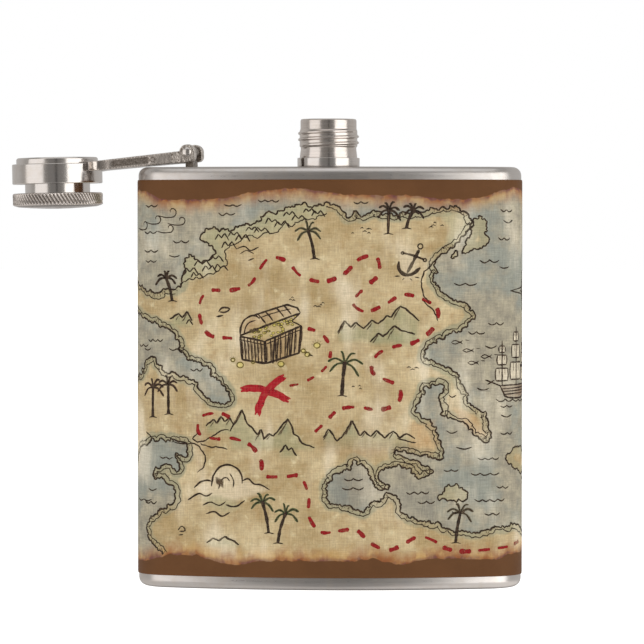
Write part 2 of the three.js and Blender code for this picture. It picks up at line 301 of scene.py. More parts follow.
def speckle(tree, where, scale, stretch=(1, 1, 1), detail=3.0, rough=0.55, offset=(0, 0, 0)):
    """Noise of about 1/scale millimetres, stretched along the coordinates."""
    inputs = {"Vector": where, "Scale": tuple(scale * s for s in stretch), "Location": offset}
    spread = add(tree, "ShaderNodeMapping", inputs)
    ends = {"Vector": spread.outputs[0], "Scale": 1.0, "Detail": detail, "Roughness": rough}
    return add(tree, "ShaderNodeTexNoise", ends).outputs[0]


def own_marks(tree, name="marks", output="Vector"):
    """What the mesh itself carries at each point, by default the coordinates its finish is laid out on."""
    return add(tree, "ShaderNodeAttribute", attribute_name=name, attribute_type="GEOMETRY").outputs[output]


def own_metres(tree):
    """Object coordinates in millimetres."""
    where = add(tree, "ShaderNodeTexCoord").outputs["Object"]
    return add(tree, "ShaderNodeVectorMath", {0: where, "Scale": 1 / MM}, operation="SCALE").outputs[0]


def finish_of(name, build, **constants):
    """A material: build(tree) gives what varies, the constants are set on the shader itself."""
    made = bpy.data.materials.new(name)
    made.use_nodes = True
    tree = made.node_tree
    shader = tree.nodes["Principled BSDF"]
    for key, value in constants.items():
        shader.inputs[key.replace("_", " ")].default_value = value
    for key, value in build(tree).items():
        if key == "Height":
            depth, distance = value
            inputs = {"Height": depth, "Strength": 1.0, "Distance": distance * MM}
            value, key = add(tree, "ShaderNodeBump", inputs).outputs[0], "Normal"
        tree.links.new(value, shader.inputs[key])
    return made


# Effects that the finishes share


def brushed_grain():
    """Long fine lines along a part."""
    ins = [("Marks", "Vector", None), ("Along", "Float", 0.05), ("Across", "Float", 7.0)]
    tree, ends, outs = effect("brushed_grain", ins, [("Lines", "Float"), ("Bands", "Float")])
    parts = add(tree, "ShaderNodeSeparateXYZ", {0: ends["Marks"]}).outputs
    run = maths(tree, "MULTIPLY", parts[0], ends["Along"])
    run_side = maths(tree, "MULTIPLY", parts[1], ends["Across"])
    depth = maths(tree, "MULTIPLY", parts[2], ends["Across"])
    where = add(tree, "ShaderNodeCombineXYZ", {0: run, 1: run_side, 2: depth}).outputs[0]
    fine = speckle(tree, where, 1.0, detail=4.0, rough=0.7)
    broad = speckle(tree, where, 0.16, detail=2.0)
    tree.links.new(fine, outs["Lines"])
    tree.links.new(broad, outs["Bands"])
    return tree


def turned_grain():
    """Fine lines round a turned part."""
    ins = [("Marks", "Vector", None), ("Across", "Float", 9.0)]
    tree, ends, outs = effect("turned_grain", ins, [("Lines", "Float"), ("Bands", "Float")])
    parts = add(tree, "ShaderNodeSeparateXYZ", {0: ends["Marks"]}).outputs
    length = maths(tree, "MULTIPLY", parts[2], ends["Across"])
    where = add(tree, "ShaderNodeCombineXYZ", {0: parts[0], 1: parts[1], 2: length}).outputs[0]
    tree.links.new(speckle(tree, where, 1.0, detail=4.0, rough=0.7), outs["Lines"])
    tree.links.new(speckle(tree, where, 0.12, detail=2.0), outs["Bands"])
    return tree


def smudges():
    """Where hands have dulled the metal."""
    tree, ends, outs = effect("smudges", [("Where", "Vector", None)], [("Smudge", "Float")])
    cloud = speckle(tree, ends["Where"], 0.16, detail=4.0, rough=0.6)
    finger = speckle(tree, ends["Where"], 0.6, detail=2.0, offset=(3, 8, 1))
    both = maths(tree, "MULTIPLY", cloud, finger)
    tree.links.new(rise(tree, both, 0.16, 0.42), outs["Smudge"])
    return tree


def cast_skin():
    """Pits, lumps and the dirt they hold."""
    outputs = [("Height", "Float"), ("Dirt", "Float"), ("Cloud", "Float")]
    tree, ends, outs = effect("cast_skin", [("Where", "Vector", None)], outputs)
    lumps = speckle(tree, ends["Where"], 0.9, detail=3.0)
    fine = speckle(tree, ends["Where"], 4.5, detail=4.0, rough=0.65)
    cells = {"Vector": ends["Where"], "Scale": 1.7, "Randomness": 1.0}
    pits = add(tree, "ShaderNodeTexVoronoi", cells, feature="SMOOTH_F1").outputs["Distance"]
    pit = rise(tree, pits, 0.02, 0.34)
    height = maths(tree, "MULTIPLY_ADD", lumps, 0.8, maths(tree, "MULTIPLY", pit, 0.35))
    tree.links.new(maths(tree, "MULTIPLY_ADD", fine, 0.3, height), outs["Height"])
    dark = rise(tree, maths(tree, "MULTIPLY", pit, lumps), 0.5, 0.12)
    tree.links.new(dark, outs["Dirt"])
    tree.links.new(lumps, outs["Cloud"])
    return tree


def rubbed():
    """Upright streaks and patches where the print has worn pale."""
    tree, ends, outs = effect("rubbed", [("Marks", "Vector", None)], [("Rub", "Float")])
    streaks = speckle(tree, ends["Marks"], 0.13, stretch=(1.0, 0.22, 1), detail=3.0, offset=(4.1, 0.7, 0))
    patches = speckle(tree, ends["Marks"], 0.05, detail=2.0, offset=(1.9, 5.2, 0))
    both = maths(tree, "MULTIPLY", streaks, patches)
    tree.links.new(rise(tree, both, 0.24, 0.42), outs["Rub"])
    return tree


def linen():
    """The threads of the chart's backing, both ways."""
    tree, ends, outs = effect("linen", [("Marks", "Vector", None)], [("Thread", "Float")])
    warp = speckle(tree, ends["Marks"], 1.0, stretch=(3.4, 0.3, 1), detail=2.0, rough=0.5)
    weft = speckle(tree, ends["Marks"], 1.0, stretch=(0.3, 3.4, 1), detail=2.0, rough=0.5, offset=(9, 4, 0))
    tree.links.new(maths(tree, "ADD", warp, weft), outs["Thread"])
    return tree


GRAIN, TURNED, SMUDGES, CAST, RUBBED, LINEN = (
    brushed_grain(), turned_grain(), smudges(), cast_skin(), rubbed(), linen())

# Finishes


def steel_build(group, across, tone, dull, smudge_rough, lines_height, line_tone=0.12):
    def build(tree):
        marks = own_marks(tree)
        grain = use(tree, group, Marks=marks, Across=across)
        smudge = use(tree, SMUDGES, Where=own_metres(tree))[0]
        bright = rise(tree, grain["Lines"], 0.3, 0.7)
        low = tuple(c * (1 - line_tone) for c in tone[:3]) + (1,)
        colour = mix(tree, bright, low, tone)
        colour = mix(tree, maths(tree, "MULTIPLY", smudge, 0.25), colour, SMUDGE_TONE)
        rough = maths(tree, "MULTIPLY_ADD", grain["Bands"], 0.10, dull - 0.05)
        rough = maths(tree, "MULTIPLY_ADD", grain["Lines"], 0.10, rough)
        rough = maths(tree, "MULTIPLY_ADD", smudge, smudge_rough, rough)
        return {"Base Color": colour, "Roughness": rough, "Height": (grain["Lines"], lines_height)}
    return build


def cast_build(tone, grime, dull, depth, soil=0.8, pocketed=False):
    def build(tree):
        where = own_metres(tree)
        skin = use(tree, CAST, Where=where)
        smudge = use(tree, SMUDGES, Where=where)[0]
        colour = mix(tree, skin["Cloud"], tuple(c * 0.86 for c in tone[:3]) + (1,), tone)
        colour = mix(tree, maths(tree, "MULTIPLY", skin["Dirt"], soil), colour, grime)
        rough = maths(tree, "MULTIPLY_ADD", skin["Dirt"], 0.25, dull)
        rough = maths(tree, "MULTIPLY_ADD", smudge, 0.08, rough)
        if pocketed:
            # Painted shade with grime: the pocket and its round mark darken in mottled patches, and are
            # rougher
            pocket = own_marks(tree, "pocket", "Fac")
            grit = rise(tree, speckle(tree, where, 3.6, detail=3.0), 0.35, 0.65, 1.0, 0.62)
            dark = maths(tree, "MULTIPLY", pocket, grit)
            colour = mix(tree, dark, colour, POCKET_SHADE_AND_GRIME)
            rough = maths(tree, "MULTIPLY_ADD", dark, 0.3, rough)
        return {"Base Color": colour, "Roughness": rough, "Height": (skin["Height"], depth)}
    return build


SMUDGE_TONE = srgb(196, 184, 170)
# Painted shade with grime, for the strap's pocket and the round mark by it
POCKET_SHADE_AND_GRIME = srgb(104, 95, 86)
# Painted shade with grime, deepest in the knurl's grooves
GROOVE_SHADE_AND_GRIME = srgb(84, 76, 68)
STEEL = srgb(206, 202, 199)
WARM_STEEL = srgb(208, 201, 196)
CAST_TONE, CAST_GRIME = srgb(204, 196, 188), srgb(98, 86, 74)
# A darker copy of the cast steel's colours for the hinge leg: painted shade, as it stands under the clevis
SHADED_LEG_TONE, SHADED_LEG_GRIME = srgb(138, 129, 120), srgb(70, 62, 54)
STRAP_TONE, STRAP_GRIME = srgb(198, 190, 183), srgb(128, 116, 104)
SEAL_DARK, SEAL_LIGHT, SEAL_STAIN = srgb(214, 210, 201), srgb(228, 225, 218), srgb(176, 164, 146)
WALL_DARK, WALL_LIGHT = srgb(170, 166, 161), srgb(196, 192, 188)
brushed_steel = finish_of(
    "brushed_steel", steel_build(GRAIN, 7.0, STEEL, 0.24, 0.07, 0.003), Metallic=1.0)
turned_steel = finish_of(
    "turned_steel", steel_build(TURNED, 9.0, STEEL, 0.09, 0.06, 0.002, 0.06), Metallic=1.0)
thread_steel = finish_of(
    "thread_steel", steel_build(TURNED, 6.0, WARM_STEEL, 0.12, 0.08, 0.004), Metallic=1.0)


def knurl_build(tree):
    """Turned steel darkened in the knurl's grooves by their depth: painted shade, with the dirt they hold."""
    made = steel_build(TURNED, 5.0, WARM_STEEL, 0.15, 0.10, 0.004)(tree)
    # Painted shade, with grime: the colour darkens with the depth into each groove
    groove_shade_and_grime = rise(tree, own_marks(tree, "groove", "Fac"), 0.4, 0.95, 0.0, 0.85)
    made["Base Color"] = mix(tree, groove_shade_and_grime, made["Base Color"], GROOVE_SHADE_AND_GRIME)
    return made


knurled_steel = finish_of("knurled_steel", knurl_build, Metallic=1.0)
cast_steel = finish_of("cast_steel", cast_build(CAST_TONE, CAST_GRIME, 0.20, 0.04), Metallic=1.0)
# The hinge leg's finish is the cast steel made darker: painted shade
shaded_leg_steel = finish_of("shaded_leg_steel", cast_build(SHADED_LEG_TONE, SHADED_LEG_GRIME, 0.26, 0.04), Metallic=1.0)
strap_steel = finish_of(
    "strap_steel", cast_build(STRAP_TONE, STRAP_GRIME, 0.17, 0.008, 0.28, pocketed=True), Metallic=1.0)


def seal_build(tree):
    where = own_metres(tree)
    cloud = speckle(tree, where, 0.4, detail=3.0)
    fine = speckle(tree, where, 6.0, detail=2.0)
    smudge = use(tree, SMUDGES, Where=where)[0]
    colour = mix(tree, cloud, SEAL_DARK, SEAL_LIGHT)
    colour = mix(tree, maths(tree, "MULTIPLY", smudge, 0.35), colour, SEAL_STAIN)
    rough = maths(tree, "MULTIPLY_ADD", smudge, -0.15, 0.55)
    return {"Base Color": colour, "Roughness": rough, "Height": (fine, 0.01)}


silicone = finish_of("silicone", seal_build)

# The pressed plates and the wall


SECTION_STEPS = 420
FILLET_STEPS = 12
INNER_FILLET_STEPS = 6
FLAT_SHARES = [0.12, 0.3, 0.5, 0.7, 0.85, 0.96, 1.0]
RIM_DROP = 0.04
# Where the brush lines of the flat and of the inside start, clear of the skirt's own
FLAT_LINES = 40.0
INSIDE_LINES = 60.0


def pressed_plate(name, node, outer, inner, way, hole):
    """A plate with a rounded edge: outer is its flat's height, way +1 for the shoulder, -1 for the base."""
    runs = np.linspace(-HALF_ROUND, HALF_ROUND, SECTION_STEPS, endpoint=False)
    skirt = outer - way * PLATE_SKIRT
    eased_foot = ((-0.12, 0.0), (-0.03, 0.05), (0.0, 0.14), (0.0, 0.7))
    levels = [(out, skirt + way * up) for out, up in eased_foot]
    for step in range(FILLET_STEPS + 1):
        turn = step / FILLET_STEPS * math.pi / 2
        out = PLATE_FILLET * (math.cos(turn) - 1)
        levels.append((out, outer + way * PLATE_FILLET * (math.sin(turn) - 1)))
    inside = [(-WALL_SHEET, skirt)]
    round_inside = PLATE_FILLET - PLATE_SHEET
    for step in range(INNER_FILLET_STEPS + 1):
        turn = step / INNER_FILLET_STEPS * math.pi / 2
        out = -WALL_SHEET + round_inside * (math.cos(turn) - 1)
        inside.append((out, inner + way * round_inside * (math.sin(turn) - 1)))

    def ring(out, z):
        x, y = kidney(runs, out)
        return np.stack([x, y, np.full_like(x, z)], 1)

    def disc_ring(edge, share, z):
        """Between the flat's edge and the neck's hole, or the middle."""
        angle = np.arctan2(edge[:, 1], edge[:, 0])
        goal = np.stack([np.cos(angle) * hole, np.sin(angle) * hole, np.full_like(angle, z)], 1)
        flat = edge + share * (goal - edge)
        flat[:, 2] = z
        return flat

    def side_marks(length):
        return np.stack([runs, np.zeros_like(runs), np.full_like(runs, length)], 1)

    rings, marks, length = [], [], 0.0
    for i, (out, z) in enumerate(levels):
        rings.append(ring(out, z))
        if i:
            length += math.hypot(out - levels[i - 1][0], z - levels[i - 1][1])
        marks.append(side_marks(length))
    edge = rings[-1]
    for share in FLAT_SHARES:
        rings.append(disc_ring(edge, share, outer if share < 1 else outer - way * RIM_DROP))
        flat = rings[-1]
        marks.append(np.stack([flat[:, 0], flat[:, 1], np.full_like(runs, FLAT_LINES)], 1))
    under = ring(inside[-1][0], inner)
    for share in reversed(FLAT_SHARES):
        rings.append(disc_ring(under, share, inner))
        marks.append(rings[-1] * (1, 1, 0))
    for out, z in reversed(inside):
        rings.append(ring(out, z))
        marks.append(side_marks(INSIDE_LINES + z))
    points, faces = loft(rings, closed=True)
    made = solid(name, points, faces, brushed_steel, marks=np.concatenate(marks), sharp=50)
    fit(made, "flask", node)


pressed_plate("shoulder_shell", "shoulder_plate", SHOULDER, SHOULDER - PLATE_SHEET, 1, NECK_HOLE)
pressed_plate("base_shell", "base_plate", 0.0, PLATE_SHEET, -1, 0.01)


def wall_build(tree):
    where = own_metres(tree)
    lines = speckle(tree, where, 0.8, stretch=(1, 1, 0.05), detail=3.0)
    smudge = use(tree, SMUDGES, Where=where)[0]
    colour = mix(tree, lines, WALL_DARK, WALL_LIGHT)
    rough = maths(tree, "MULTIPLY_ADD", smudge, 0.1, 0.35)
    return {"Base Color": colour, "Roughness": rough, "Height": (lines, 0.01)}


wall_steel = finish_of("wall_steel", wall_build, Metallic=1.0)

# The body wall is hidden under the wrap, so its own mesh stays and only takes the finish
wall = frame["nodes"]["body_wall"]
wall.data.materials.clear()
wall.data.materials.append(wall_steel)
for face in wall.data.polygons:
    face.material_index = 0

# The neck and its ring


def thread_ridge(around, height, start, turns, fade):
    """How high on a thread's ridge a place is, 0 to 1. around is how much of a turn it lies at."""
    turned = (height - start) / THREAD_PITCH - around
    nearest = np.round(turned)
    along = nearest + around
    strength = np.clip(np.minimum(along / fade, (turns - along) / fade), 0, 1)
    ridge = np.clip((RIDGE_HALF - np.abs(turned - nearest) * THREAD_PITCH) / RIDGE_FLANK, 0, 1)
    return strength * ridge * ridge * (3 - 2 * ridge)


def neck_thread(angle, radius, height):
    around = ((angle - math.pi) % TURN) / TURN
    ridge = thread_ridge(around, height, THREAD_START, THREAD_TURNS, NECK_THREAD_FADE)
    outside = (radius > NECK_BORE + 0.5) & (height > 4.0)
    return radius + np.where(outside, THREAD_DEPTH * ridge, 0)


NECK_CORNERS = [
    (NECK_BORE, -2.2), (6.95, -2.2), (6.95, 2.6), (6.75, 4.2), (6.75, 4.7), (THREAD_ROOT, 5.0),
    (THREAD_ROOT, 8.7), (6.8, 9.2), (6.8, NECK_TOP - 0.42), (6.67, NECK_TOP - 0.1),
    (6.4, NECK_TOP), (NECK_BORE + 0.15, NECK_TOP), (NECK_BORE, NECK_TOP - 0.15)]
points, faces, marks = lathe(eased(NECK_CORNERS, 0.14, 3, 0.09), 150, neck_thread)
made = solid("neck", points, faces, thread_steel, marks, NECK, sharp=60)
fit(made, "flask", "neck_spout")


def neck_collar():
    """A ring split at the left of its front."""
    foot = 0.03
    corners = [(NECK_HOLE, foot), (NECK_COLLAR, foot), (NECK_COLLAR, NECK_COLLAR_TOP),
               (NECK_HOLE, NECK_COLLAR_TOP)]
    middle = 7.25
    profile = eased(corners, 0.22, 5, 0.4)
    gap = NECK_COLLAR_SPLIT / NECK_COLLAR
    start = rad(NECK_COLLAR_SPLIT_AT) + gap / 2
    angles = np.linspace(start, start + TURN - gap, 130)
    rings, marks = [], []
    for i, angle in enumerate(angles):
        tight = 1 - 0.06 * math.exp(-min(i, len(angles) - 1 - i) * 1.2)
        rings.append([((p.x - middle) * tight + middle, p.y) for p in profile])
        rings[-1] = [(r * math.cos(angle), r * math.sin(angle), z) for r, z in rings[-1]]
        marks += [(0.35 * math.cos(angle), 0.35 * math.sin(angle), p.y + p.x) for p in profile]
    points, faces = loft([np.array(ring) for ring in rings])
    made = solid("neck_ring", points, faces, turned_steel, marks, NECK)
    fit(made, "flask", "neck_collar")


neck_collar()

# The cap, its collar on the arm, and the gasket


def cap_knurl(angle, radius, height):
    """Leaning ridges round the grip, which fade at its rounded edges."""
    wave = 0.5 + 0.5 * np.cos(KNURLS * (angle + KNURL_LEAN * (height - KNURL_MIDDLE) / HEAD))
    groove = wave ** 0.8
    fade, past = 0.3, 0.12
    above, below = height - GRIP_LOW + past, GRIP_HIGH + past - height
    band = np.clip(above / fade, 0, 1) * np.clip(below / fade, 0, 1)
    side = radius > HEAD - 0.32
    return radius - np.where(side, KNURL_DEPTH * band * groove, 0)


HEAD_CORNERS = [
    (8.03, 9.22), (HEAD - 0.3, 9.22), (HEAD, GRIP_LOW), (HEAD, GRIP_HIGH), (HEAD - 0.32, 12.27),
    (9.6, 12.62), (6.5, 12.86), (3.0, 13.03), (0.0, 13.08), (0.0, 11.18), (8.03, 11.18)]
points, faces, marks = lathe(eased(HEAD_CORNERS, 0.12, 3, 0.22), KNURLS * 7, cap_knurl)
reach = np.hypot(*np.asarray(points).T[:2])
level = np.asarray(points)[:, 2]
groove = np.clip((HEAD - reach) / KNURL_DEPTH, 0, 1) * ((level > GRIP_LOW) & (level < GRIP_HIGH))
made = solid("cap_grip", points, faces, knurled_steel, marks, CAP, values={"groove": groove}, sharp=70)
fit(made, "cap", "cap_head")


def cap_thread(angle, radius, height):
    ridge = thread_ridge(angle / TURN, height, CAP_THREAD_START, CAP_THREAD_TURNS, CAP_THREAD_FADE)
    in_skirt = (radius < 8.0) & (height < 5.0)
    return radius - np.where(in_skirt, CAP_THREAD_DEPTH * ridge, 0)


BARREL_CORNERS = [
    (7.95, 0.53), (9.75, 0.53), (10.05, 0.88), (10.05, 5.91), (8.0, 5.91), (8.0, 10.12), (7.05, 10.12),
    (7.05, 7.55), (7.5, 7.25), (7.5, 5.51), (7.95, 5.11)]
points, faces, marks = lathe(eased(BARREL_CORNERS, 0.14, 3, 0.16), 160, cap_thread)
made = solid("cap_barrel_turned", points, faces, turned_steel, marks, CAP, sharp=60)
fit(made, "cap", "cap_barrel")

GASKET_CORNERS = [(0.0, 10.15), (7.97, 10.15), (7.97, 11.15), (0.0, 11.15)]
points, faces, marks = lathe(eased(GASKET_CORNERS, 0.2, 4, 0.5), 96)
fit(solid("gasket_disc", points, faces, silicone, marks, CAP), "cap_seal", "cap_gasket")

RING_CORNERS = [
    (10.2, 2.04), (11.1, 2.04), (11.1, 6.97), (8.15, 6.97), (8.15, 5.97), (10.2, 5.97)]
points, faces, marks = lathe(eased(RING_CORNERS, 0.28, 4, 0.4), 180)
made = solid("arm_ring", points, faces, turned_steel, marks, CAP, sharp=50)
fit(made, "arm", "arm_collar")

# The hinge pin, its own heights running across the arm
PIN_CORNERS = [
    (0.0, -5.33), (0.6, -5.26), (1.05, -5.03), (1.25, -4.78), (0.95, -4.78), (0.95, 4.78), (1.5, 4.78),
    (1.5, 5.38), (1.1, 5.78), (0.5, 5.93), (0.0, 5.95)]
points, faces, marks = lathe(eased(PIN_CORNERS, 0.16, 3, 0.3), 40)
fit(solid("rivet_pin", points, faces, turned_steel, marks, PIN), "arm", "hinge_pin")


def cast_part(name, node, finish, voxel, soften, lump, body, pocket_of=None):
    """A cast part: the node's shape with its edges softened and its skin uneven. Sizes in millimetres."""
    mesh = frame["nodes"][node].data.copy()
    mesh.transform(Matrix.Diagonal((1 / MM, 1 / MM, 1 / MM, 1)))
    rough = bpy.data.objects.new(name + "_rough", mesh)
    scene.collection.objects.link(rough)
    remesh = rough.modifiers.new("skin", "REMESH")
    remesh.mode, remesh.voxel_size, remesh.adaptivity = "VOXEL", voxel, 0.0
    smooth = rough.modifiers.new("soften", "SMOOTH")
    smooth.factor, smooth.iterations = 0.5, soften
    bpy.context.view_layer.update()
    ready = rough.evaluated_get(bpy.context.evaluated_depsgraph_get())
    skin = bpy.data.meshes.new_from_object(ready)
    bpy.data.objects.remove(rough)
    normals = [vertex.normal.copy() for vertex in skin.vertices]
    places = [vertex.co.copy() for vertex in skin.vertices]
    moved = []
    for at, normal in zip(places, normals):
        swell = noise.noise(at * 0.7) * 0.6 + noise.noise(at * 1.9 + Vector((7, 3, 1))) * 0.4
        pit = max(0.0, noise.noise(at * 2.6 + Vector((2, 9, 4))) - 0.42)
        moved.extend(at + normal * (lump * swell - 2.2 * lump * pit))
    skin.vertices.foreach_set("co", moved)
    skin.transform(Matrix.Diagonal((MM, MM, MM, 1)))
    skin.name = name
    if pocket_of:
        depth = [pocket_of(ARM.inverted() @ vertex.co) for vertex in skin.vertices]
        skin.attributes.new("pocket", "FLOAT", "POINT").data.foreach_set("value", depth)
    skin.materials.clear()
    skin.materials.append(finish)
    skin.shade_smooth()
    made = bpy.data.objects.new(name, skin)
    scene.collection.objects.link(made)
    fit(made, body, node)


STRAP_SIDE = 4.3
STRAP_RISE = 0.0778
STRAP_MIDDLE = 0.97
POCKET_START, POCKET_END = 10.1, 18.3
POCKET_HALF, POCKET_SOFT = 0.95, 0.25
MARK_X, MARK_Z, MARK_RADIUS = 8.6, 1.62, 0.55
MARK_HALF, MARK_SOFT = 0.2, 0.12


def strap_pocket(at):
    """How far a place on the strap is in the rough pocket of its side, or on the round mark by it."""
    if abs(at.y) < STRAP_SIDE:
        return 0.0
    middle = STRAP_MIDDLE + STRAP_RISE * at.x
    along = min(max(at.x, POCKET_START), POCKET_END)
    gap = math.hypot(at.x - along, at.z - middle)
    off_mark = abs(math.hypot(at.x - MARK_X, at.z - MARK_Z) - MARK_RADIUS)
    pocket, mark = (POCKET_HALF - gap) / POCKET_SOFT, (MARK_HALF - off_mark) / MARK_SOFT
    return min(max(pocket, mark, 0.0), 1.0)


# The hinge leg takes the darker copy of the cast finish, which paints shade on it
cast_part("hinge_leg", "hinge_post", shaded_leg_steel, 0.1, 7, 0.04, "flask")
cast_part("clevis_casting", "hinge_clevis", cast_steel, 0.1, 9, 0.07, "arm")
cast_part("strap_casting", "arm_strap", strap_steel, 0.13, 12, 0.014, "arm", strap_pocket)

# The printed wrap. Everything on it is placed by the run from the middle of the front, positive to the
# right, and the height above the base, in millimetres

dice = random.Random(7)
INK = srgb(44, 34, 27)
PALE_INK = srgb(78, 64, 48)
ROUTE_RED = srgb(128, 18, 25)
CROSS_RED = srgb(150, 22, 34)
LEAF = srgb(70, 84, 52)
PEN_LIFT = 0.03
PEN_ROOT = 0.04


def flowing(points, spacing, closed=False):
    """A smooth line through the points, at an even spacing."""
    points = [np.array(p, float) for p in points]
    ends = [points[-1], points[0], points[1]] if closed else [2 * points[-1] - points[-2]]
    line = ([points[-1]] if closed else [2 * points[0] - points[1]]) + points + (ends[1:] if closed else ends)
    fine = []
    for a, b, c, d in zip(line, line[1:], line[2:], line[3:]):
        cuts = max(2, int(np.linalg.norm(c - b) / 0.25))
        for t in np.arange(cuts) / cuts:
            fine.append(0.5 * (2 * b + (c - a) * t + (2 * a - 5 * b + 4 * c - d) * t * t
                               + (3 * b - a - 3 * c + d) * t ** 3))
    fine.append(points[0] if closed else points[-1])
    return even(fine, spacing)


def even(points, spacing):
    """The same line, its points evenly spaced."""
    points = np.array(points, float)
    length = length_along(points)
    count = max(2, int(round(length[-1] / spacing)) + 1)
    at = np.linspace(0, length[-1], count)
    return np.stack([np.interp(at, length, points[:, 0]), np.interp(at, length, points[:, 1])], 1)


def sideways(line):
    """Unit normals of a line, to its left."""
    along = np.gradient(line, axis=0)
    along /= np.maximum(np.hypot(along[:, 0], along[:, 1]), 1e-9)[:, None]
    return np.stack([-along[:, 1], along[:, 0]], 1)


def shaky(line, reach, size, phase):
    """The line as a hand draws it: it strays by reach, over stretches of about size."""
    normal = sideways(line)
    turn = [noise.noise(Vector((p[0] / size, p[1] / size, phase))) for p in line]
    return line + normal * (reach * np.array(turn))[:, None]


def circle(run, up, size, steps, squash=1.0):
    """A round line, flattened where squash is under 1."""
    turns = np.linspace(0, TURN, steps)
    return np.stack([run + size * np.cos(turns), up + size * squash * np.sin(turns)], 1)


class Pen:
    """Gathers strokes, each a thin raised ribbon on the wrap."""

    def __init__(self):
        self.points, self.faces, self.marks, self.tints = [], [], [], []
        self.count = 0

    def stroke(self, line, width, tint=INK, taper=0.35, lift=PEN_LIFT):
        """One stroke along the line, its width uneven and its ends thinner where taper is under 1."""
        line = np.asarray(line, float)
        keep = inside_chart(line)
        if not keep.all():
            self.split(line, keep, width, tint, taper, lift)
            return
        if len(line) < 2:
            return
        length = length_along(line)
        share = length / max(length[-1], 1e-6)
        press = np.array([noise.noise(Vector((p[0] * 0.9, p[1] * 0.9, 5.0))) for p in line])
        size = width * (1 + 0.45 * press) * np.minimum(1, taper + np.minimum(share, 1 - share) * 6)
        reach = sideways(line) * (size / 2)[:, None]
        left, right = line + reach, line - reach
        for flat, out in ((left, lift), (right, lift), (right, -PEN_ROOT), (left, -PEN_ROOT)):
            x, y = kidney(flat[:, 0], PRINT_OUT + out)
            self.points.append(np.stack([x, y, flat[:, 1]], 1))
            self.marks.append(np.column_stack([flat, np.zeros(len(flat))]))
            self.tints.append(np.tile(tint, (len(flat), 1)))
        n, first = len(line), self.count
        self.count += 4 * n
        for side in range(4):
            a, b = first + side * n, first + (side + 1) % 4 * n
            self.faces += [(a + i, a + i + 1, b + i + 1, b + i) for i in range(n - 1)]
        self.faces.append((first, first + n, first + 2 * n, first + 3 * n))
        self.faces.append((first + n - 1, first + 4 * n - 1, first + 3 * n - 1, first + 2 * n - 1))

    def split(self, line, keep, *look):
        """Only the stretches of a stroke that lie on the chart."""
        run = []
        for point, kept in zip([*line, None], [*keep, False]):
            if kept:
                run.append(point)
                continue
            if len(run) > 1:
                self.stroke(run, *look)
            run = []

    def curve(self, points, width=0.3, tint=INK, shake=0.08, taper=0.35):
        self.stroke(shaky(flowing(points, 0.5), shake, 1.0, len(self.faces)), width, tint, taper)

    def straight(self, points, width=0.3, tint=INK):
        self.stroke(shaky(even(points, 0.5), 0.06, 1.0, len(self.faces)), width, tint, 0.5)

    def made(self, name, finish):
        made = solid(name, np.concatenate(self.points), self.faces, finish,
                     marks=np.concatenate(self.marks), tints={"tint": np.concatenate(self.tints)})
        fit(made, "flask", "printed_wrap")


# The burnt edges of the chart, above and below, which the brown bands meet
TOP_BURN = [
    (-107, 95.2), (-96, 96.4), (-84, 94.6), (-72, 95.4), (-62, 94.4), (-56, 96.0), (-50, 96.7),
    (-45, 96.0), (-41.5, 94.5), (-37, 94.2), (-30, 94.3), (-24, 94.6), (-20, 95.6), (-15, 96.3),
    (-9.5, 96.9), (-5, 96.8), (0, 96.0), (4, 95.4), (10, 95.3), (17, 95.3), (23, 95.0), (27, 94.4),
    (33, 94.2), (38, 94.8), (42, 96.3), (47, 97.3), (54, 96.2), (62, 94.6), (72, 95.8), (84, 94.4),
    (95, 95.8), (107, 95.2)]
BOTTOM_BURN = [
    (-107, 7.2), (-95, 6.4), (-82, 8.3), (-70, 6.6), (-60, 7.9), (-53, 6.4), (-46, 6.3), (-39, 8.2),
    (-32, 8.3), (-26, 6.6), (-22, 6.0), (-17, 7.1), (-8, 7.4), (0, 7.2), (7, 7.2), (11, 8.1), (16, 6.6),
    (19, 6.4), (23, 7.6), (29, 7.8), (36, 7.4), (41, 7.2), (45, 8.4), (52, 8.8), (62, 6.8), (75, 8.1),
    (88, 6.4), (98, 7.8), (107, 7.2)]
EDGE_CLEAR = 0.5
SEAM_CLEAR = 0.6


def edge_height(edge, run):
    """The height of a burnt edge, which ripples finely."""
    base = np.interp(run, [p[0] for p in edge], [p[1] for p in edge])
    broad = [0.38 * noise.noise(Vector((r * 0.55, edge[0][1], 0))) for r in run]
    fine = [0.2 * noise.noise(Vector((r * 1.7, 3, 1))) for r in run]
    return base + (np.array(broad) + np.array(fine))


def inside_chart(line):
    """Which points lie on the chart, clear of its burnt edges and of the seam behind."""
    top, bottom = edge_height(TOP_BURN, line[:, 0]), edge_height(BOTTOM_BURN, line[:, 0])
    on_sheet = np.abs(line[:, 0]) < HALF_ROUND - SEAM_CLEAR
    return (line[:, 1] < top - EDGE_CLEAR) & (line[:, 1] > bottom + EDGE_CLEAR) & on_sheet


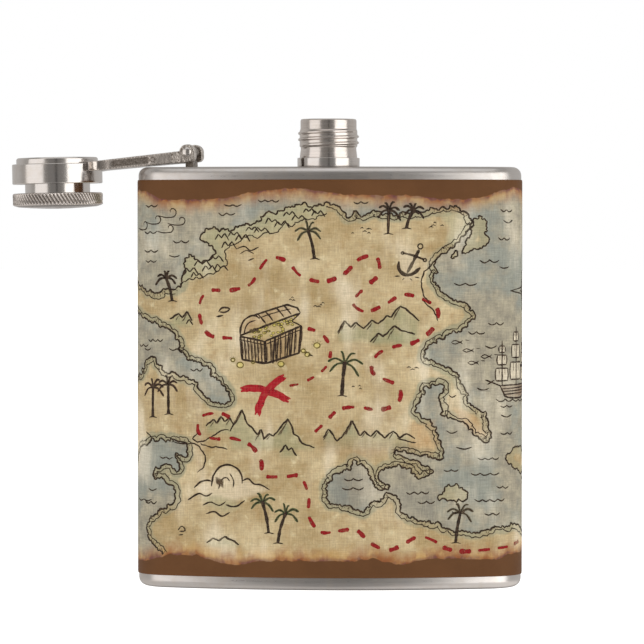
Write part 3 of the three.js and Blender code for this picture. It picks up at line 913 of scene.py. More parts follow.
# Coasts. The first runs from west to east, with the sea on its left. The bays run round their water and
# the islands round their land
NORTH_SEA = [
    (-113, 70), (-104, 73), (-95, 70), (-87, 74), (-80, 71), (-73, 76), (-66, 73), (-59, 77), (-53, 75),
    (-48, 73), (-43, 71.8), (-40, 72.4), (-37.5, 72.3), (-36, 74), (-35, 76.7), (-35.6, 79), (-34.5, 80.2),
    (-33, 80.5), (-31, 79.4), (-28.5, 80), (-27.6, 81.6), (-28.5, 83.2), (-30.2, 84.2), (-31, 85.6),
    (-29.7, 86.8), (-28, 87.3), (-24, 86.9), (-20.5, 87.8), (-17, 88.6), (-14.5, 91), (-11, 91.4), (-7, 93),
    (-3, 92.6), (0, 93.3), (2.5, 92.6), (3.8, 91.2), (5.4, 90.2), (7.4, 90.8), (9.2, 90.4), (11.4, 91.3),
    (13.6, 91.1), (16.2, 90.6), (18.9, 91.1), (21.3, 90.9), (23.8, 91.4), (27.2, 92.3), (30.5, 92.2),
    (33.6, 91.4), (35.4, 88.9), (33.5, 85.8), (30.6, 82.9), (27.2, 80.5), (26.2, 77.2), (25.7, 74.3),
    (28.6, 71.2), (33, 69.5), (35.6, 67), (33.5, 63.7), (29.6, 61.8), (25.7, 59.8), (23.3, 56.9), (26.7, 55),
    (30.6, 53.1), (33, 49.7), (33.9, 45.9), (37.8, 43), (39.7, 39.6), (39.3, 35.8), (36.4, 37.2), (33, 40.6),
    (28.1, 42.3), (27.6, 46.4), (28.1, 49.2), (24.3, 49.4), (22.8, 46.8), (21.3, 43.5), (24.7, 41.1),
    (26.7, 38.2), (28.1, 34.8), (27.2, 31.9), (24.3, 32.4), (20, 33.2), (16, 33.5), (20, 31.8), (25.7, 29),
    (22.8, 27.1), (19.9, 29), (16.5, 30.5), (13.6, 29.5), (12.6, 27.1), (15.1, 25.2), (12.1, 24.9),
    (10.7, 27.1), (9.7, 29.5), (6.8, 31.4), (5.4, 29.5), (1.5, 27.6), (0, 24.2), (0.5, 21.3), (4.4, 20.6),
    (8.8, 19.2), (12.1, 21.8), (15.1, 23.7), (17, 22.2), (18, 19.4), (21.3, 17.5), (26.7, 16), (29.6, 14.6),
    (34.4, 14.1), (39.3, 14.1), (42.2, 15.1), (46.5, 15.8), (52, 14), (59, 12), (66, 16.5), (73, 13),
    (80, 18), (88, 14.5), (96, 18), (104, 15), (113, 17)]
WEST_BAY = [
    (-76, 58), (-72, 62), (-67, 61.5), (-62, 65), (-57, 64.6), (-53, 66.8), (-47, 65.6), (-41, 63.5),
    (-36.8, 60.8), (-35.3, 56.7), (-30, 54.3), (-27.8, 51.9), (-25.4, 49.9), (-23.7, 47.6), (-23.5, 45.9),
    (-25.4, 44.9), (-29, 46.4), (-32.6, 50), (-36.8, 52.2), (-40, 52.6), (-43, 55.6), (-45.5, 56.1),
    (-47.5, 52.6), (-53, 50.7), (-59, 51.8), (-65, 49.4), (-71, 52)]
SOUTH_BAY = [
    (-49.5, 33), (-45.5, 35), (-42.4, 35.8), (-38.1, 36), (-34.9, 35.4), (-34.5, 31.9), (-37.3, 32.9),
    (-36.7, 29), (-40.3, 29.7), (-44.2, 27.6), (-40.3, 26.1), (-37.5, 23.7), (-38.4, 20.6), (-42.2, 18.5),
    (-45.2, 15.6), (-45.7, 12.6), (-42, 9.4), (-39, 6), (-44, 2), (-58, 2), (-66, 8), (-70, 16), (-66, 24),
    (-58, 28), (-53, 29)]
ISLANDS = [
    [(36.8, 90.4), (37.9, 89.7), (38.8, 88.2), (38.3, 86.2), (39.6, 85.2), (38.6, 83.4), (35.4, 82.2),
     (32.7, 81.2), (33.6, 83.1), (35, 86.2), (35.6, 88.6)],
    [(26.9, 22.3), (28.2, 23.9), (30, 25.2), (31.5, 25.7), (32.7, 24.6), (34.2, 23.8), (34.4, 22.6),
     (32.5, 21.8), (30, 21.9), (28, 21.8)],
    [(31.1, 82.0), (31.9, 81.2), (31, 79.8), (30.2, 80.6)],
    [(44.4, 31.3), (45.8, 33.6), (49.5, 34.4), (54, 33), (56, 30), (52.5, 28), (47, 29.2)],
    [(64, 66), (68, 70), (74, 71), (79, 67), (77, 62), (71, 60), (66, 62)],
    [(60, 34), (64, 39), (71, 41), (79, 44), (87, 41), (93, 43), (98, 38), (95, 31), (87, 28), (80, 30),
     (73, 27), (66, 29)],
    [(86, 82), (91, 86), (98, 85), (101, 81), (96, 78), (90, 78)],
    [(94, 56), (98, 60), (103, 58), (103, 53), (97, 52)],
    [(58, 84), (61, 87), (64.5, 85.5), (63.5, 82), (60, 81.5)]]
SHORE_REACH = 5.0


def rugged(points, closed, phase):
    """A coastline: the smooth line with coves and small notches."""
    line = shaky(flowing(points, 0.32, closed), 0.9, 1.5, phase)
    return shaky(line, 0.62, 0.66, phase + 3)


north = rugged(NORTH_SEA, False, 2.0)
bays = [rugged(bay, True, 4.0) for bay in (WEST_BAY, SOUTH_BAY)]
islands = [rugged(island, True, 6.0) for island in ISLANDS]
north_sea = np.concatenate([north, [(125, 130), (-125, 130), (-113, 70)]])


def inside(outline, at):
    """Even-odd test of many places against a closed outline."""
    count = np.zeros(len(at), bool)
    for (ax, az), (bx, bz) in zip(outline, np.roll(outline, -1, axis=0)):
        if az == bz:
            continue
        hit = (az > at[:, 1]) != (bz > at[:, 1])
        count ^= hit & (at[:, 0] < (bx - ax) * (at[:, 1] - az) / (bz - az) + ax)
    return count


def at_sea(places):
    """Which places lie in the sea or a bay, and not on an island."""
    wet = inside(north_sea, places)
    for bay in bays:
        wet |= inside(bay, places)
    for island in islands:
        wet &= ~inside(island, places)
    return wet


def away_from(line, at, reach):
    """How far each place is from a line, up to reach. The line is taken in parts, for speed."""
    best = np.full(len(at), reach)
    edges = 40
    for start in range(0, len(line), edges):
        part = line[start:start + edges + 1]
        low, high = part.min(0) - reach, part.max(0) + reach
        near = np.flatnonzero(((at > low) & (at < high)).all(1))
        if len(near) == 0 or len(part) < 2:
            continue
        here = at[near]
        found = best[near]
        for a, b in zip(part, part[1:]):
            edge = b - a
            share = np.clip(((here - a) @ edge) / max(edge @ edge, 1e-9), 0, 1)
            gap = here - (a + share[:, None] * edge)
            found = np.minimum(found, np.hypot(gap[:, 0], gap[:, 1]))
        best[near] = found
    return best


# The wrap's sheet as a grid, and what is painted on it at each point
CELL = 0.56
cells_round = int(2 * (HALF_ROUND - PRINT_SEAM) / CELL)
cells_up = int((PRINT_HIGH - PRINT_LOW) / CELL)
sheet_run = np.linspace(-HALF_ROUND + PRINT_SEAM, HALF_ROUND - PRINT_SEAM, cells_round + 1)
sheet_up = np.linspace(PRINT_LOW, PRINT_HIGH, cells_up + 1)
grid_run, grid_up = np.meshgrid(sheet_run, sheet_up, indexing="ij")
sheet = np.stack([grid_run.ravel(), grid_up.ravel()], 1)

shore = np.full(len(sheet), SHORE_REACH)
for coast in [north] + bays + islands:
    shore = np.minimum(shore, away_from(coast, sheet, SHORE_REACH))
shore = np.where(at_sea(sheet), shore, -shore)
top_burn = edge_height(TOP_BURN, sheet_run)[:, None] - sheet_up[None, :]
bottom_burn = sheet_up[None, :] - edge_height(BOTTOM_BURN, sheet_run)[:, None]
burn = np.minimum(top_burn, bottom_burn).ravel()

wash = np.zeros((len(sheet), 4))


def paint(outline, tint, strength, soft=0.8):
    """A watery wash over an area, which fades at its edge."""
    outline = np.array(outline, float)
    low, high = outline.min(0) - 2, outline.max(0) + 2
    near = np.flatnonzero(((sheet > low) & (sheet < high)).all(1))
    here = sheet[near]
    edge = away_from(np.concatenate([outline, outline[:1]]), here, 3.0)
    signed = np.where(inside(outline, here), edge, -edge)
    amount = np.clip(signed / soft + 0.5, 0, 1) * strength
    kept = wash[near, 3] * (1 - amount)
    total = np.maximum(kept + amount, 1e-6)
    colour = (wash[near, :3] * kept[:, None] + np.array(tint[:3]) * amount[:, None]) / total[:, None]
    wash[near] = np.column_stack([colour, kept + amount])


ink, route = Pen(), Pen()
HILL = srgb(156, 152, 121)
SLOPE = srgb(140, 140, 108)
HILL_DARK = srgb(112, 118, 94)
PALE = srgb(216, 204, 180)
WOOD = srgb(150, 122, 88)
COIN = srgb(196, 184, 92)
HEAPED_COIN = srgb(186, 172, 88)
COIN_LINE = srgb(96, 84, 40)
HEAPED_LINE = srgb(96, 86, 44)
CHEST_INSIDE = srgb(164, 146, 92)
HULL = srgb(112, 84, 62)
OLIVE_LEAF = srgb(84, 84, 60)
BROWN_LEAF = srgb(66, 50, 38)
DRY_LEAF = srgb(84, 78, 62)
COAST_WIDTH = 0.42
COAST_GAP = 1.35
ISLAND_WIDTH = 0.38
SHIP_STRETCH = 1.75
SHIP_GROW = 1.1
FISH_HALF = 1.4


def shore_lines(line, inland, leave=None):
    """A coast: a bold line, and behind it, except in leave, a fainter one with short strokes between."""
    ink.stroke(line, COAST_WIDTH, INK, 1.0)
    normal = sideways(line) * inland
    sway = [noise.noise(Vector((p[0] * 0.3, p[1] * 0.3, 8))) for p in line]
    depth = np.array([COAST_GAP * (0.8 + 0.5 * away) for away in sway])
    second = line + normal * depth[:, None]
    second = (second + np.roll(second, 1, 0) + np.roll(second, -1, 0)) / 3
    second[0], second[-1] = second[1], second[-2]
    second = shaky(shaky(second, 0.4, 1.1, 9.0), 0.25, 0.5, 3.0)[1:-1]
    if leave:
        low, high = leave
        second = [second[second[:, 0] < low], second[second[:, 0] > high]]
    for part in second if leave else [second]:
        ink.stroke(part, COAST_WIDTH * 0.55, INK, 1.0)
    place = 1.0
    while place < len(line) - 2:
        i = int(place)
        place += dice.uniform(1.4, 3.2)
        if leave and leave[0] < line[i][0] < leave[1]:
            continue
        if noise.noise(Vector((line[i][0] * 0.11, line[i][1] * 0.11, 2))) > -0.12:
            reach = depth[i] * dice.uniform(0.45, 0.9)
            lean = np.array([dice.uniform(-0.3, 0.3), dice.uniform(-0.3, 0.3)])
            ink.stroke([line[i] + normal[i] * 0.3, line[i] + normal[i] * reach + lean], 0.17, PALE_INK, 0.7)


shore_lines(north[:len(north) // 2], -1, leave=(-37, -0.5))
shore_lines(north[len(north) // 2 - 1:], -1)
for bay in bays:
    shore_lines(bay, 1)
for island in islands:
    ink.stroke(np.concatenate([island, island[:2]]), ISLAND_WIDTH, INK, 1.0)


def waves(run, up, width, humps):
    """A row of joined little swells."""
    step = width / humps
    points = []
    for k in range(humps):
        tall = dice.uniform(0.45, 0.75)
        for share, lift in ((0, 1), (0.3, 0.25), (0.55, 0.1), (0.8, 0.45)):
            points.append((run + (k + share) * step, up + tall * lift + dice.uniform(-0.08, 0.08)))
        points.append((run + (k + 0.98) * step, up + tall * 0.95))
    ink.straight(points, 0.3)


def palm(run, up, tall, lean, spread, leaf=INK, thick=0.75):
    """A palm: a leaning trunk and six drooping fronds."""
    head = np.array([run + lean, up + tall])
    trunk = flowing([(run, up), (run + lean * 0.35, up + tall * 0.5), head], 0.4)
    ink.stroke(trunk, thick, INK, 1.0)
    ink.curve([(run - 1.1, up - 0.1), (run, up + 0.1), (run + 1.3, up - 0.15)], 0.28)
    for angle in (-24, 18, 62, 108, 158, 203):
        turn = rad(angle + dice.uniform(-9, 9))
        reach = spread * dice.uniform(0.85, 1.12)
        out = np.array([math.cos(turn), math.sin(turn)])
        droop = np.array([0, -reach * 0.28])
        frond = flowing([head, head + out * reach * 0.55 + (0, 0.25), head + out * reach + droop], 0.4)
        ink.stroke(frond, 0.56, leaf, 0.5, 0.026)
        ink.stroke(shaky(frond, 0.15, 0.8, angle), 0.22, INK, 0.6, 0.034)


def range_of_hills(foot, shaded, *points):
    """A skyline with its slopes washed down to the foot and, if shaded, hatched on one side."""
    line = shaky(even(points, 0.45), 0.22, 0.9, points[0][0])
    ink.stroke(line, 0.42, INK, 0.6)
    outline = list(points) + [(points[-1][0] - 0.5, foot), (points[0][0] + 0.5, foot)]
    paint(outline, SLOPE, 0.75, 1.4)
    if not shaded:
        return
    for before, peak, after in zip(points, points[1:], points[2:]):
        if peak[1] > before[1] + 0.8 and peak[1] > after[1] + 0.4:
            fall = peak[1] - min(before[1], after[1])
            for k in range(int(3 + fall)):
                start = (peak[0] - k * 0.28 * fall / 3, peak[1] - 0.5 - k * fall * 0.13)
                end = (start[0] - 0.25 - 0.12 * fall, start[1] - fall * dice.uniform(0.3, 0.55))
                ink.straight([start, end], 0.2, PALE_INK)
            paint([(peak[0], peak[1]), (peak[0] - fall * 0.55, peak[1] - fall),
                   (peak[0] - fall * 0.05, peak[1] - fall)], HILL_DARK, 0.55, 0.9)


def little_peaks(run, up, size, count):
    """A row of small peaks, one line."""
    points = [(run, up)]
    for k in range(count):
        tall = size * dice.uniform(0.75, 1.1)
        points.append((run + size * (0.55 + k * 1.15), up + tall))
        points.append((run + size * (1.1 + k * 1.15), up + tall * 0.3))
    points[-1] = (points[-1][0] + 0.3, up - 0.2)
    ink.straight(points, 0.34)


def stones(run, up, count, spread):
    """Small flat tents scattered about a place."""
    for _ in range(count):
        x, z = run + dice.uniform(-spread, spread), up + dice.uniform(-0.7, 0.7)
        wide = dice.uniform(0.3, 0.6)
        ink.stroke([(x - wide, z), (x, z + 0.22), (x + wide, z)], 0.3)


def dashes(points, first, dash=2.95, gap=1.8, width=0.95):
    """The route: a dashed line with worn, brushed ends. first is the gap before the first dash."""
    line = flowing(points, 0.25)
    length = length_along(line)
    at = first
    while at < length[-1] - 1.0:
        end = min(at + dash * dice.uniform(0.85, 1.15), length[-1])
        part = line[(length >= at) & (length <= end)]
        if len(part) > 3:
            route.stroke(part, width * dice.uniform(0.7, 1.2), ROUTE_RED, dice.uniform(0.25, 0.7))
        at = end + gap * dice.uniform(0.85, 1.15)


# What the chart shows, from its north-west corner

NORTH_HILLS = [
    (-37.5, 72.6), (-35, 76.7), (-35.6, 79), (-33, 80.5), (-28.5, 80), (-28.5, 83.2), (-31, 85.6),
    (-28, 87.2), (-20.5, 87.8), (-14.5, 91), (-7, 93), (0, 93), (0, 90.6), (-3.4, 89.2), (-8.2, 88),
    (-12.5, 86.2), (-16.4, 85.3), (-21.7, 83.9), (-24.7, 82), (-24.5, 78.6), (-27.6, 76.2),
    (-30.9, 75.4), (-34.3, 74.6)]
paint(NORTH_HILLS, HILL, 0.85, 1.2)
for strength, *outline in (
        (0.7, (28, 92), (33, 91.5), (35, 88.5), (33, 85.5), (30.5, 83.2), (28.8, 84.6), (30, 87.5),
         (27.5, 90)),
        (0.6, (25.6, 59), (23.6, 57), (27, 54.6), (31, 52.6), (33.2, 49.4), (31.6, 49), (28, 52.2),
         (24, 55.2))):
    paint(outline, HILL, strength)
INLAND = [
    (0, 91), (-3.4, 89.4), (-5.6, 89.6), (-8.2, 88), (-10, 88.3), (-12.5, 86.2), (-14.6, 86.4),
    (-16.4, 85.1), (-19, 85.3), (-21.7, 83.9), (-24.7, 82.2), (-24.2, 80), (-24.8, 78.4), (-27.6, 76.4),
    (-29, 76.6), (-30.9, 75.2), (-34.3, 74.8), (-36.4, 73.2)]
ink.stroke(shaky(shaky(flowing(INLAND, 0.35), 0.5, 1.3, 7.0), 0.35, 0.6, 2.0), 0.26, INK, 1.0)
for run, up, size in (
        (-35.5, 76.3, 1.7), (-32.5, 78.2, 1.8), (-30.5, 76.9, 1.5), (-28.8, 79.4, 1.5), (-27.2, 84.6, 1.4),
        (-25.6, 82.6, 1.5), (-24, 85.3, 1.3), (-22.2, 84.3, 1.5), (-19.6, 86.6, 1.3), (-17.6, 86.2, 1.6),
        (-14.8, 88.4, 1.4), (-12.6, 87.6, 1.5), (-10.4, 90.2, 1.3), (-8.4, 89.2, 1.5), (-5.6, 91.1, 1.2),
        (-3.6, 90.3, 1.3), (-27.4, 77.3, 1.4), (-33.4, 75.4, 1.3)):
    little_peaks(run, up, size, 2)
ink.curve([(-22, 82.3), (-20, 83), (-18.4, 82), (-16.4, 82.8)], 0.3)
ink.curve([(-21, 81.2), (-19.4, 82), (-17.6, 81.2)], 0.26)
ink.curve([(-19, 79.6), (-17.6, 80.1)], 0.3)

for run, up, wide, humps in (
        (-46.5, 81.4, 4.6, 2), (-46, 79, 3.6, 2), (-38, 83.7, 4.2, 2), (-39, 80.3, 2.8, 1),
        (-26.4, 90.4, 4.2, 2), (-25, 92.6, 4.4, 2), (-16.6, 93.6, 5.2, 3), (-46.5, 86, 4.2, 2),
        (-46, 92.4, 4, 2), (6.5, 93.2, 3.6, 2), (-45, 59.8, 4.4, 3), (-46.6, 57.6, 2.4, 1),
        (-39, 57.6, 4, 2), (-33.5, 52.8, 3.2, 2), (-46.2, 20.4, 3.8, 2), (-41.5, 31.4, 3.4, 2),
        (-45, 23.6, 2.6, 1), (37.2, 79, 5, 2), (42.3, 77.6, 2.8, 1), (30.8, 73.5, 5.8, 2),
        (39.4, 63.9, 4.2, 2), (34.4, 61.8, 4.2, 2), (42.6, 91.2, 3.6, 2), (43.4, 88.6, 3, 1),
        (42, 84.4, 3.4, 2), (29, 37.9, 2.8, 1), (31.4, 34, 4, 1), (36.8, 31.4, 5.4, 3),
        (35.1, 27.6, 7.2, 3), (19.2, 23.3, 5.6, 3), (22, 21, 4.2, 2), (36, 21.3, 7.8, 4),
        (38.5, 18, 4, 2), (4.2, 26.6, 4.6, 2), (3.7, 24.4, 5.3, 2), (42.6, 44, 3.8, 2),
        (42.8, 41.6, 3.4, 1), (42.6, 37.4, 3.8, 2), (29.6, 46.6, 1.8, 1), (38.6, 58.4, 3, 1),
        (28.4, 28.6, 3.6, 2), (41.6, 24.4, 3.4, 2), (30.4, 18.4, 3.2, 2), (36.6, 48.2, 3, 1)):
    waves(run, up, wide, humps)

# More swells round the sides and the back, wherever all of one lies on water
for k in range(64):
    side = 1 if k % 2 else -1
    run, up = side * dice.uniform(49, 104), dice.uniform(12, 93)
    here = np.array([[run + 1, up], [run + 4.5, up], [run + 2.5, up + 1.5], [run + 2.5, up - 1.2]])
    if at_sea(here).all():
        waves(run, up, dice.uniform(3.4, 6.5), dice.choice((2, 2, 3)))

for hills in (
        (60.2, True, (2.7, 62.3), (4.4, 65.1), (5.8, 63.6), (7.1, 64.7), (8.8, 63.2), (10.9, 65.2),
         (12.5, 64.4), (14.6, 66.4), (15.5, 66), (17.7, 68.8), (19, 67.9), (20.6, 66.6), (22.3, 65)),
        (59.4, True, (10.5, 60), (12.4, 62.2), (13.6, 61.2), (16.3, 63.9), (17.6, 62.9), (19, 62.6),
         (21.3, 61.8)),
        (38, True, (-29.6, 39.6), (-27.6, 41.2), (-26.9, 40.2), (-25.8, 42), (-24.9, 40.6), (-23.6, 41.8),
         (-22.6, 40)),
        (34.2, True, (-23.6, 38.4), (-22.1, 40.6), (-20.6, 43.7), (-19.4, 40.4), (-17.9, 39.2),
         (-16.8, 37.6), (-15.9, 38.9), (-15.2, 36.6), (-13.8, 37.8), (-12.9, 37.2), (-11.1, 39.5),
         (-9.3, 41.6), (-7.8, 38), (-6.9, 37.4), (-5.8, 35.6), (-2.9, 34.6)),
        (32.2, False, (-11.3, 33.4), (-9.9, 35.1), (-9.1, 33.9), (-8.4, 34.4), (-7.2, 32.6)),
        (34.6, True, (-0.8, 37), (0.5, 39), (1.6, 37.6), (2.5, 36.2), (4.2, 37.8), (6.1, 41.1), (8, 37.5),
         (9.2, 38.6), (10.6, 37.2), (12.1, 38.7), (13.9, 37), (16, 38.7), (17.6, 37.1), (19.3, 37.9),
         (21.3, 36.7)),
        (63.6, True, (-38.8, 65.3), (-36.5, 66.7), (-35.6, 65.8), (-34.3, 67.2), (-33.1, 65)),
        (10.6, False, (-29.4, 11.3), (-27.6, 12.5), (-26.4, 11.9), (-24.7, 12.9), (-21.3, 11.1))):
    range_of_hills(*hills)
little_peaks(-34.6, 64.2, 1.3, 1)

# Stains on the sheet, and the rounded rocks' own washes last
for tint, strength, soft, *outline in (
        (srgb(138, 112, 80), 0.45, 2.2, (-1, 36.6), (8, 37), (22, 36), (22, 33.4), (8, 32.6), (-1, 33.6)),
        (srgb(112, 108, 98), 0.5, 2.4, (1, 21), (5, 20.4), (9, 20), (11, 24), (9.4, 28.4), (6, 30.4),
         (2, 27.4)),
        (srgb(118, 118, 110), 0.45, 3.0, (14, 24), (19, 19), (27, 17), (27, 21), (24, 26), (18, 26)),
        (srgb(176, 140, 98), 0.6, 1.2, (31, 44), (36, 42), (39, 37), (36, 37.6), (32, 41.4)),
        (srgb(174, 138, 96), 0.5, 1.6, (20, 40), (26, 41), (27.4, 35), (25, 32.6), (20, 35)),
        (PALE, 0.55, 1.2, (-32.5, 24.6), (-29, 26.2), (-27.6, 28.6), (-24.3, 30.2), (-21, 28.6),
         (-19.6, 26.8), (-14, 24.6), (-17, 23.2), (-22, 21.6), (-28, 22)),
        (HILL, 0.7, 1.4, (-31, 22.6), (-27, 23), (-22, 21.4), (-21, 19.8), (-25, 18.8), (-29, 20.4))):
    paint(outline, tint, strength, soft)

# Rounded rocks with scrub at their foot
for width, *line in (
        (0.42, (-32.6, 24.6), (-31, 26), (-29.4, 26.5), (-28.2, 26.2)),
        (0.46, (-28.2, 25), (-27.7, 27.6), (-26.2, 29.6), (-24.2, 30.3), (-22, 29.6), (-20.7, 27.8),
         (-20.5, 25.8)),
        (0.4, (-20.6, 26.4), (-19, 27), (-17.6, 25.7), (-16, 25.6), (-13.8, 24.4)),
        (0.34, (-26.4, 24.4), (-25.6, 26.6), (-24.4, 27.2), (-23.6, 26.3)),
        (0.3, (-23.6, 28.2), (-22.6, 26.4), (-22.8, 24.8)),
        (0.38, (-34.2, 21.6), (-31.4, 23.2), (-29.6, 22.6), (-28, 23.4)),
        (0.34, (-30.4, 20.4), (-28.4, 21.2), (-26.2, 20.4), (-24.6, 21.4)),
        (0.4, (-29.6, 18.4), (-27.4, 18.9), (-25.6, 17.8), (-23.6, 18.8)),
        (0.34, (-24.6, 20.6), (-22.2, 20.2), (-19.8, 21.8))):
    ink.curve(line, width)
for k in range(9):
    ink.straight([(-27.1 + k * 0.22, 27.4 - k * 0.1), (-26.9 + k * 0.2, 25.6 - k * 0.12)], 0.17, PALE_INK)

# Palms: run, height, how tall, lean and spread, then the leaf's colour and the trunk's width
for drawn in (
        (-2.9, 80, 6.7, -1.5, 3.2, OLIVE_LEAF), (-38.2, 69.7, 5.6, -1.6, 2.9),
        (-43.6, 41.5, 7.3, 0.1, 3.0, BROWN_LEAF), (-39.2, 42.3, 7.2, -0.1, 2.9, BROWN_LEAF),
        (3.7, 47.1, 7.9, 0.7, 4.2, LEAF, 0.95), (14.8, 86, 5.8, 0.2, 3.0), (19.2, 87.3, 4.4, 1.7, 2.6),
        (-14, 13.9, 7.4, -1.5, 3.2, LEAF), (-11.8, 11.5, 7.2, 1.9, 3.2, LEAF),
        (31.3, 11.5, 7.3, 1.2, 3.3, DRY_LEAF)):
    palm(*drawn)


def treasure_chest():
    """An open chest of planks with bands, heaped with coins."""
    left, front, right = np.array([-21, 61.3]), np.array([-15, 60.1]), np.array([-6, 63.9])
    drop_left, drop_front, drop_right = (0.5, -5.6), (0.3, -5.3), (-0.5, -6.5)
    paint([left, front, right, right + drop_right, front + drop_front, left + drop_left], WOOD, 0.55, 0.7)
    lid = [(-21, 61.6), (-20.2, 64.6), (-17.6, 66.3), (-9.5, 68.9), (-6.8, 67.6), (-14.6, 63.8), (-17, 62.6)]
    opening = [(-19.4, 62), (-15, 61), (-6.8, 64.4), (-8.4, 66), (-13.4, 65), (-18, 63.2)]
    paint(lid, WOOD, 0.6)
    paint(opening, CHEST_INSIDE, 0.65, 0.7)
    short_side, long_side = (left, front, drop_left, drop_front), (front, right, drop_front, drop_right)
    for wall_top, wall_end, drop_a, drop_b in (short_side, long_side):
        ink.straight([wall_top, wall_end], 0.46)
        ink.straight([wall_top - (0, 0.8), wall_end - (0, 0.8)], 0.26)
        ink.straight([wall_top + drop_a, wall_end + drop_b], 0.5)
        for share in (0, 0.03, 0.16, 0.3, 0.43, 0.57, 0.7, 0.84, 0.97, 1):
            top = wall_top + share * (wall_end - wall_top)
            drop = np.array(drop_a) * (1 - share) + np.array(drop_b) * share
            bold = 0.5 if share in (0, 1) else 0.3
            ink.straight([top, top + drop], bold)
            beside = top + (0.3, 0)
            ink.straight([beside + drop * 0.2, beside + drop * dice.uniform(0.5, 0.9)], 0.17, PALE_INK)
    for share in (0.28, 0.66):
        start, end = front + share * (right - front), front + (share + 0.1) * (right - front)
        for corner in (start, end):
            ink.straight([corner, corner + np.array(drop_right) * 0.98], 0.42)
    for width, *line in (
            (0.46, (-21, 61.4), (-20.8, 63.6), (-19.8, 65.4), (-17.6, 66.4), (-16.2, 65.6)),
            (0.3, (-20, 61.6), (-19.7, 63.4), (-18.8, 64.6), (-17.2, 65.2))):
        ink.curve(line, width)
    for width, *line in (
            (0.46, (-17.6, 66.4), (-13, 67.9), (-9.5, 69), (-7, 68.2), (-6.3, 67)),
            (0.26, (-16.6, 65.7), (-12, 67.2), (-8.6, 68)),
            (0.5, (-21, 61.5), (-14.4, 64), (-6.3, 67)),
            (0.34, (-6.3, 67), (-8.4, 65), (-6, 63.9))):
        ink.straight(line, width)
    for run in (-15.6, -13.8, -11.2, -9.4):
        up = 65.8 + (run + 15.6) * 0.36
        ink.curve([(run - 1.2, up + 1), (run, up - 0.2), (run + 0.9, up - 1.4)], 0.36)
    for _ in range(46):
        x = dice.uniform(-18.6, -7.4)
        near = 60.1 + (x + 15) * 0.42 if x > -15 else 60.1 - (x + 15) * 0.2
        far = 62.6 + (x + 19) * 0.33
        z = dice.uniform(near + 0.5, max(far, near + 0.7))
        size = dice.uniform(0.32, 0.5)
        ink.stroke([(x - size * 0.6, z), (x + size * 0.6, z)], size * 0.9, HEAPED_COIN, 1.0, 0.026)
        ink.stroke(circle(x, z, size, 9, 0.6), 0.15, dice.choice((PALE_INK, HEAPED_LINE)), 1.0)


def coin(run, up, size, glint):
    """A coin on the ground, with short rays round it if it glints."""
    ring = circle(run, up, size, 15, 0.85)
    paint(ring, COIN, 0.8, 0.5)
    ink.stroke(ring, 0.26, COIN_LINE, 1.0)
    if not glint:
        return
    middle = np.array([run, up])
    for turn in np.linspace(0.3, 2.9, 6):
        way = np.array([math.cos(turn), math.sin(turn)])
        ink.stroke([middle + way * size * 1.3, middle + way * size * 1.9], 0.16, PALE_INK)


treasure_chest()
for run, up, size, glint in (
        (-21, 54.4, 0.8, False), (-22.8, 55.6, 0.5, True), (-11, 54.7, 0.75, False), (-2.3, 59.2, 0.75, True),
        (-4.6, 57, 0.6, False), (-5.6, 57.9, 0.5, False), (-17.8, 55.1, 0.4, False)):
    coin(run, up, size, glint)
for run, up, count, spread in (
        (-4.4, 56.9, 4, 1.6), (-2, 69, 4, 1.3), (8.6, 86.8, 7, 2.6), (26.6, 88.2, 4, 1.5),
        (21, 53.6, 3, 1.2), (7, 49.2, 3, 1.5), (-8.6, 70.4, 3, 0.9)):
    stones(run, up, count, spread)
for width, *line in (
        (0.42, (-26.4, 67.2), (-25.4, 68.2), (-23.6, 68), (-24.6, 67.1), (-26.2, 67.2)),
        (0.4, (-26.9, 66), (-25.2, 66.3)),
        (0.34, (-36.8, 14.2), (-35.8, 15.2), (-34.8, 14.2), (-36.4, 13.9)),
        (0.34, (-36.6, 13), (-35.4, 13.2))):
    ink.curve(line, width)
for line in (
        [(-31.6, 37.8), (-33, 36.4), (-31, 35.6), (-28.4, 36.9), (-25.6, 38.6), (-23.8, 38.8)],
        [(-46, 37.8), (-44.4, 36.8), (-43.8, 35.6)],
        [(-38.4, 35.8), (-35.4, 35.2), (-32.6, 35.2), (-30.6, 33.6), (-29.6, 31.6), (-30.4, 29.4),
         (-31.8, 28.4)],
        [(-31, 35.4), (-28.4, 34.4), (-26.4, 34.7), (-24.2, 33.9)],
        [(21.6, 35.6), (19.4, 36.2), (17, 36.6)],
        [(27.2, 80.4), (24.2, 77.6), (22.8, 74.6), (23.4, 71.4), (25, 69.2)],
        [(23, 70), (25.8, 67.4), (26.8, 65)]):
    ink.curve(line, 0.34, INK, 0.4)

# Anchor
ink.straight([(22.3, 82.2), (21, 79.6), (19.4, 76.6)], 0.75)
ink.straight([(18.4, 81.4), (21, 80.8), (23.6, 79.8)], 0.5)
ink.curve([(17.4, 79.4), (17.4, 77.6), (18.8, 76.2), (20.8, 76.4), (22.6, 77.9)], 0.8, INK, 0.05, 0.4)
for run, up, size in ((22.6, 83, 0.62), (18.3, 81.4, 0.3), (23.7, 79.7, 0.36)):
    ink.stroke(circle(run, up, size, 11), 0.36, INK, 1.0)
for spoke in ((16.4, 75.8), (18.2, 74.9), (20.6, 74.8), (22.4, 75.4)):
    ink.straight([spoke, (spoke[0] * 0.6 + 19.4 * 0.4, spoke[1] * 0.6 + 76 * 0.4)], 0.3)


def fish(run, up):
    """Two crossing lines that leave a forked tail."""
    for side in (1, -1):
        out = side * FISH_HALF * 0.32
        ink.curve([(run - FISH_HALF, up), (run - FISH_HALF * 0.3, up + out), (run + FISH_HALF * 0.6, up),
                   (run + FISH_HALF, up + out)], 0.24)


for run, up in ((31.6, 59.9), (34.4, 57.9), (35.6, 54.9), (38.9, 56.4)):
    fish(run, up)
    ink.straight([(run + 2, up + 0.5), (run + 3, up + 0.4)], 0.2)


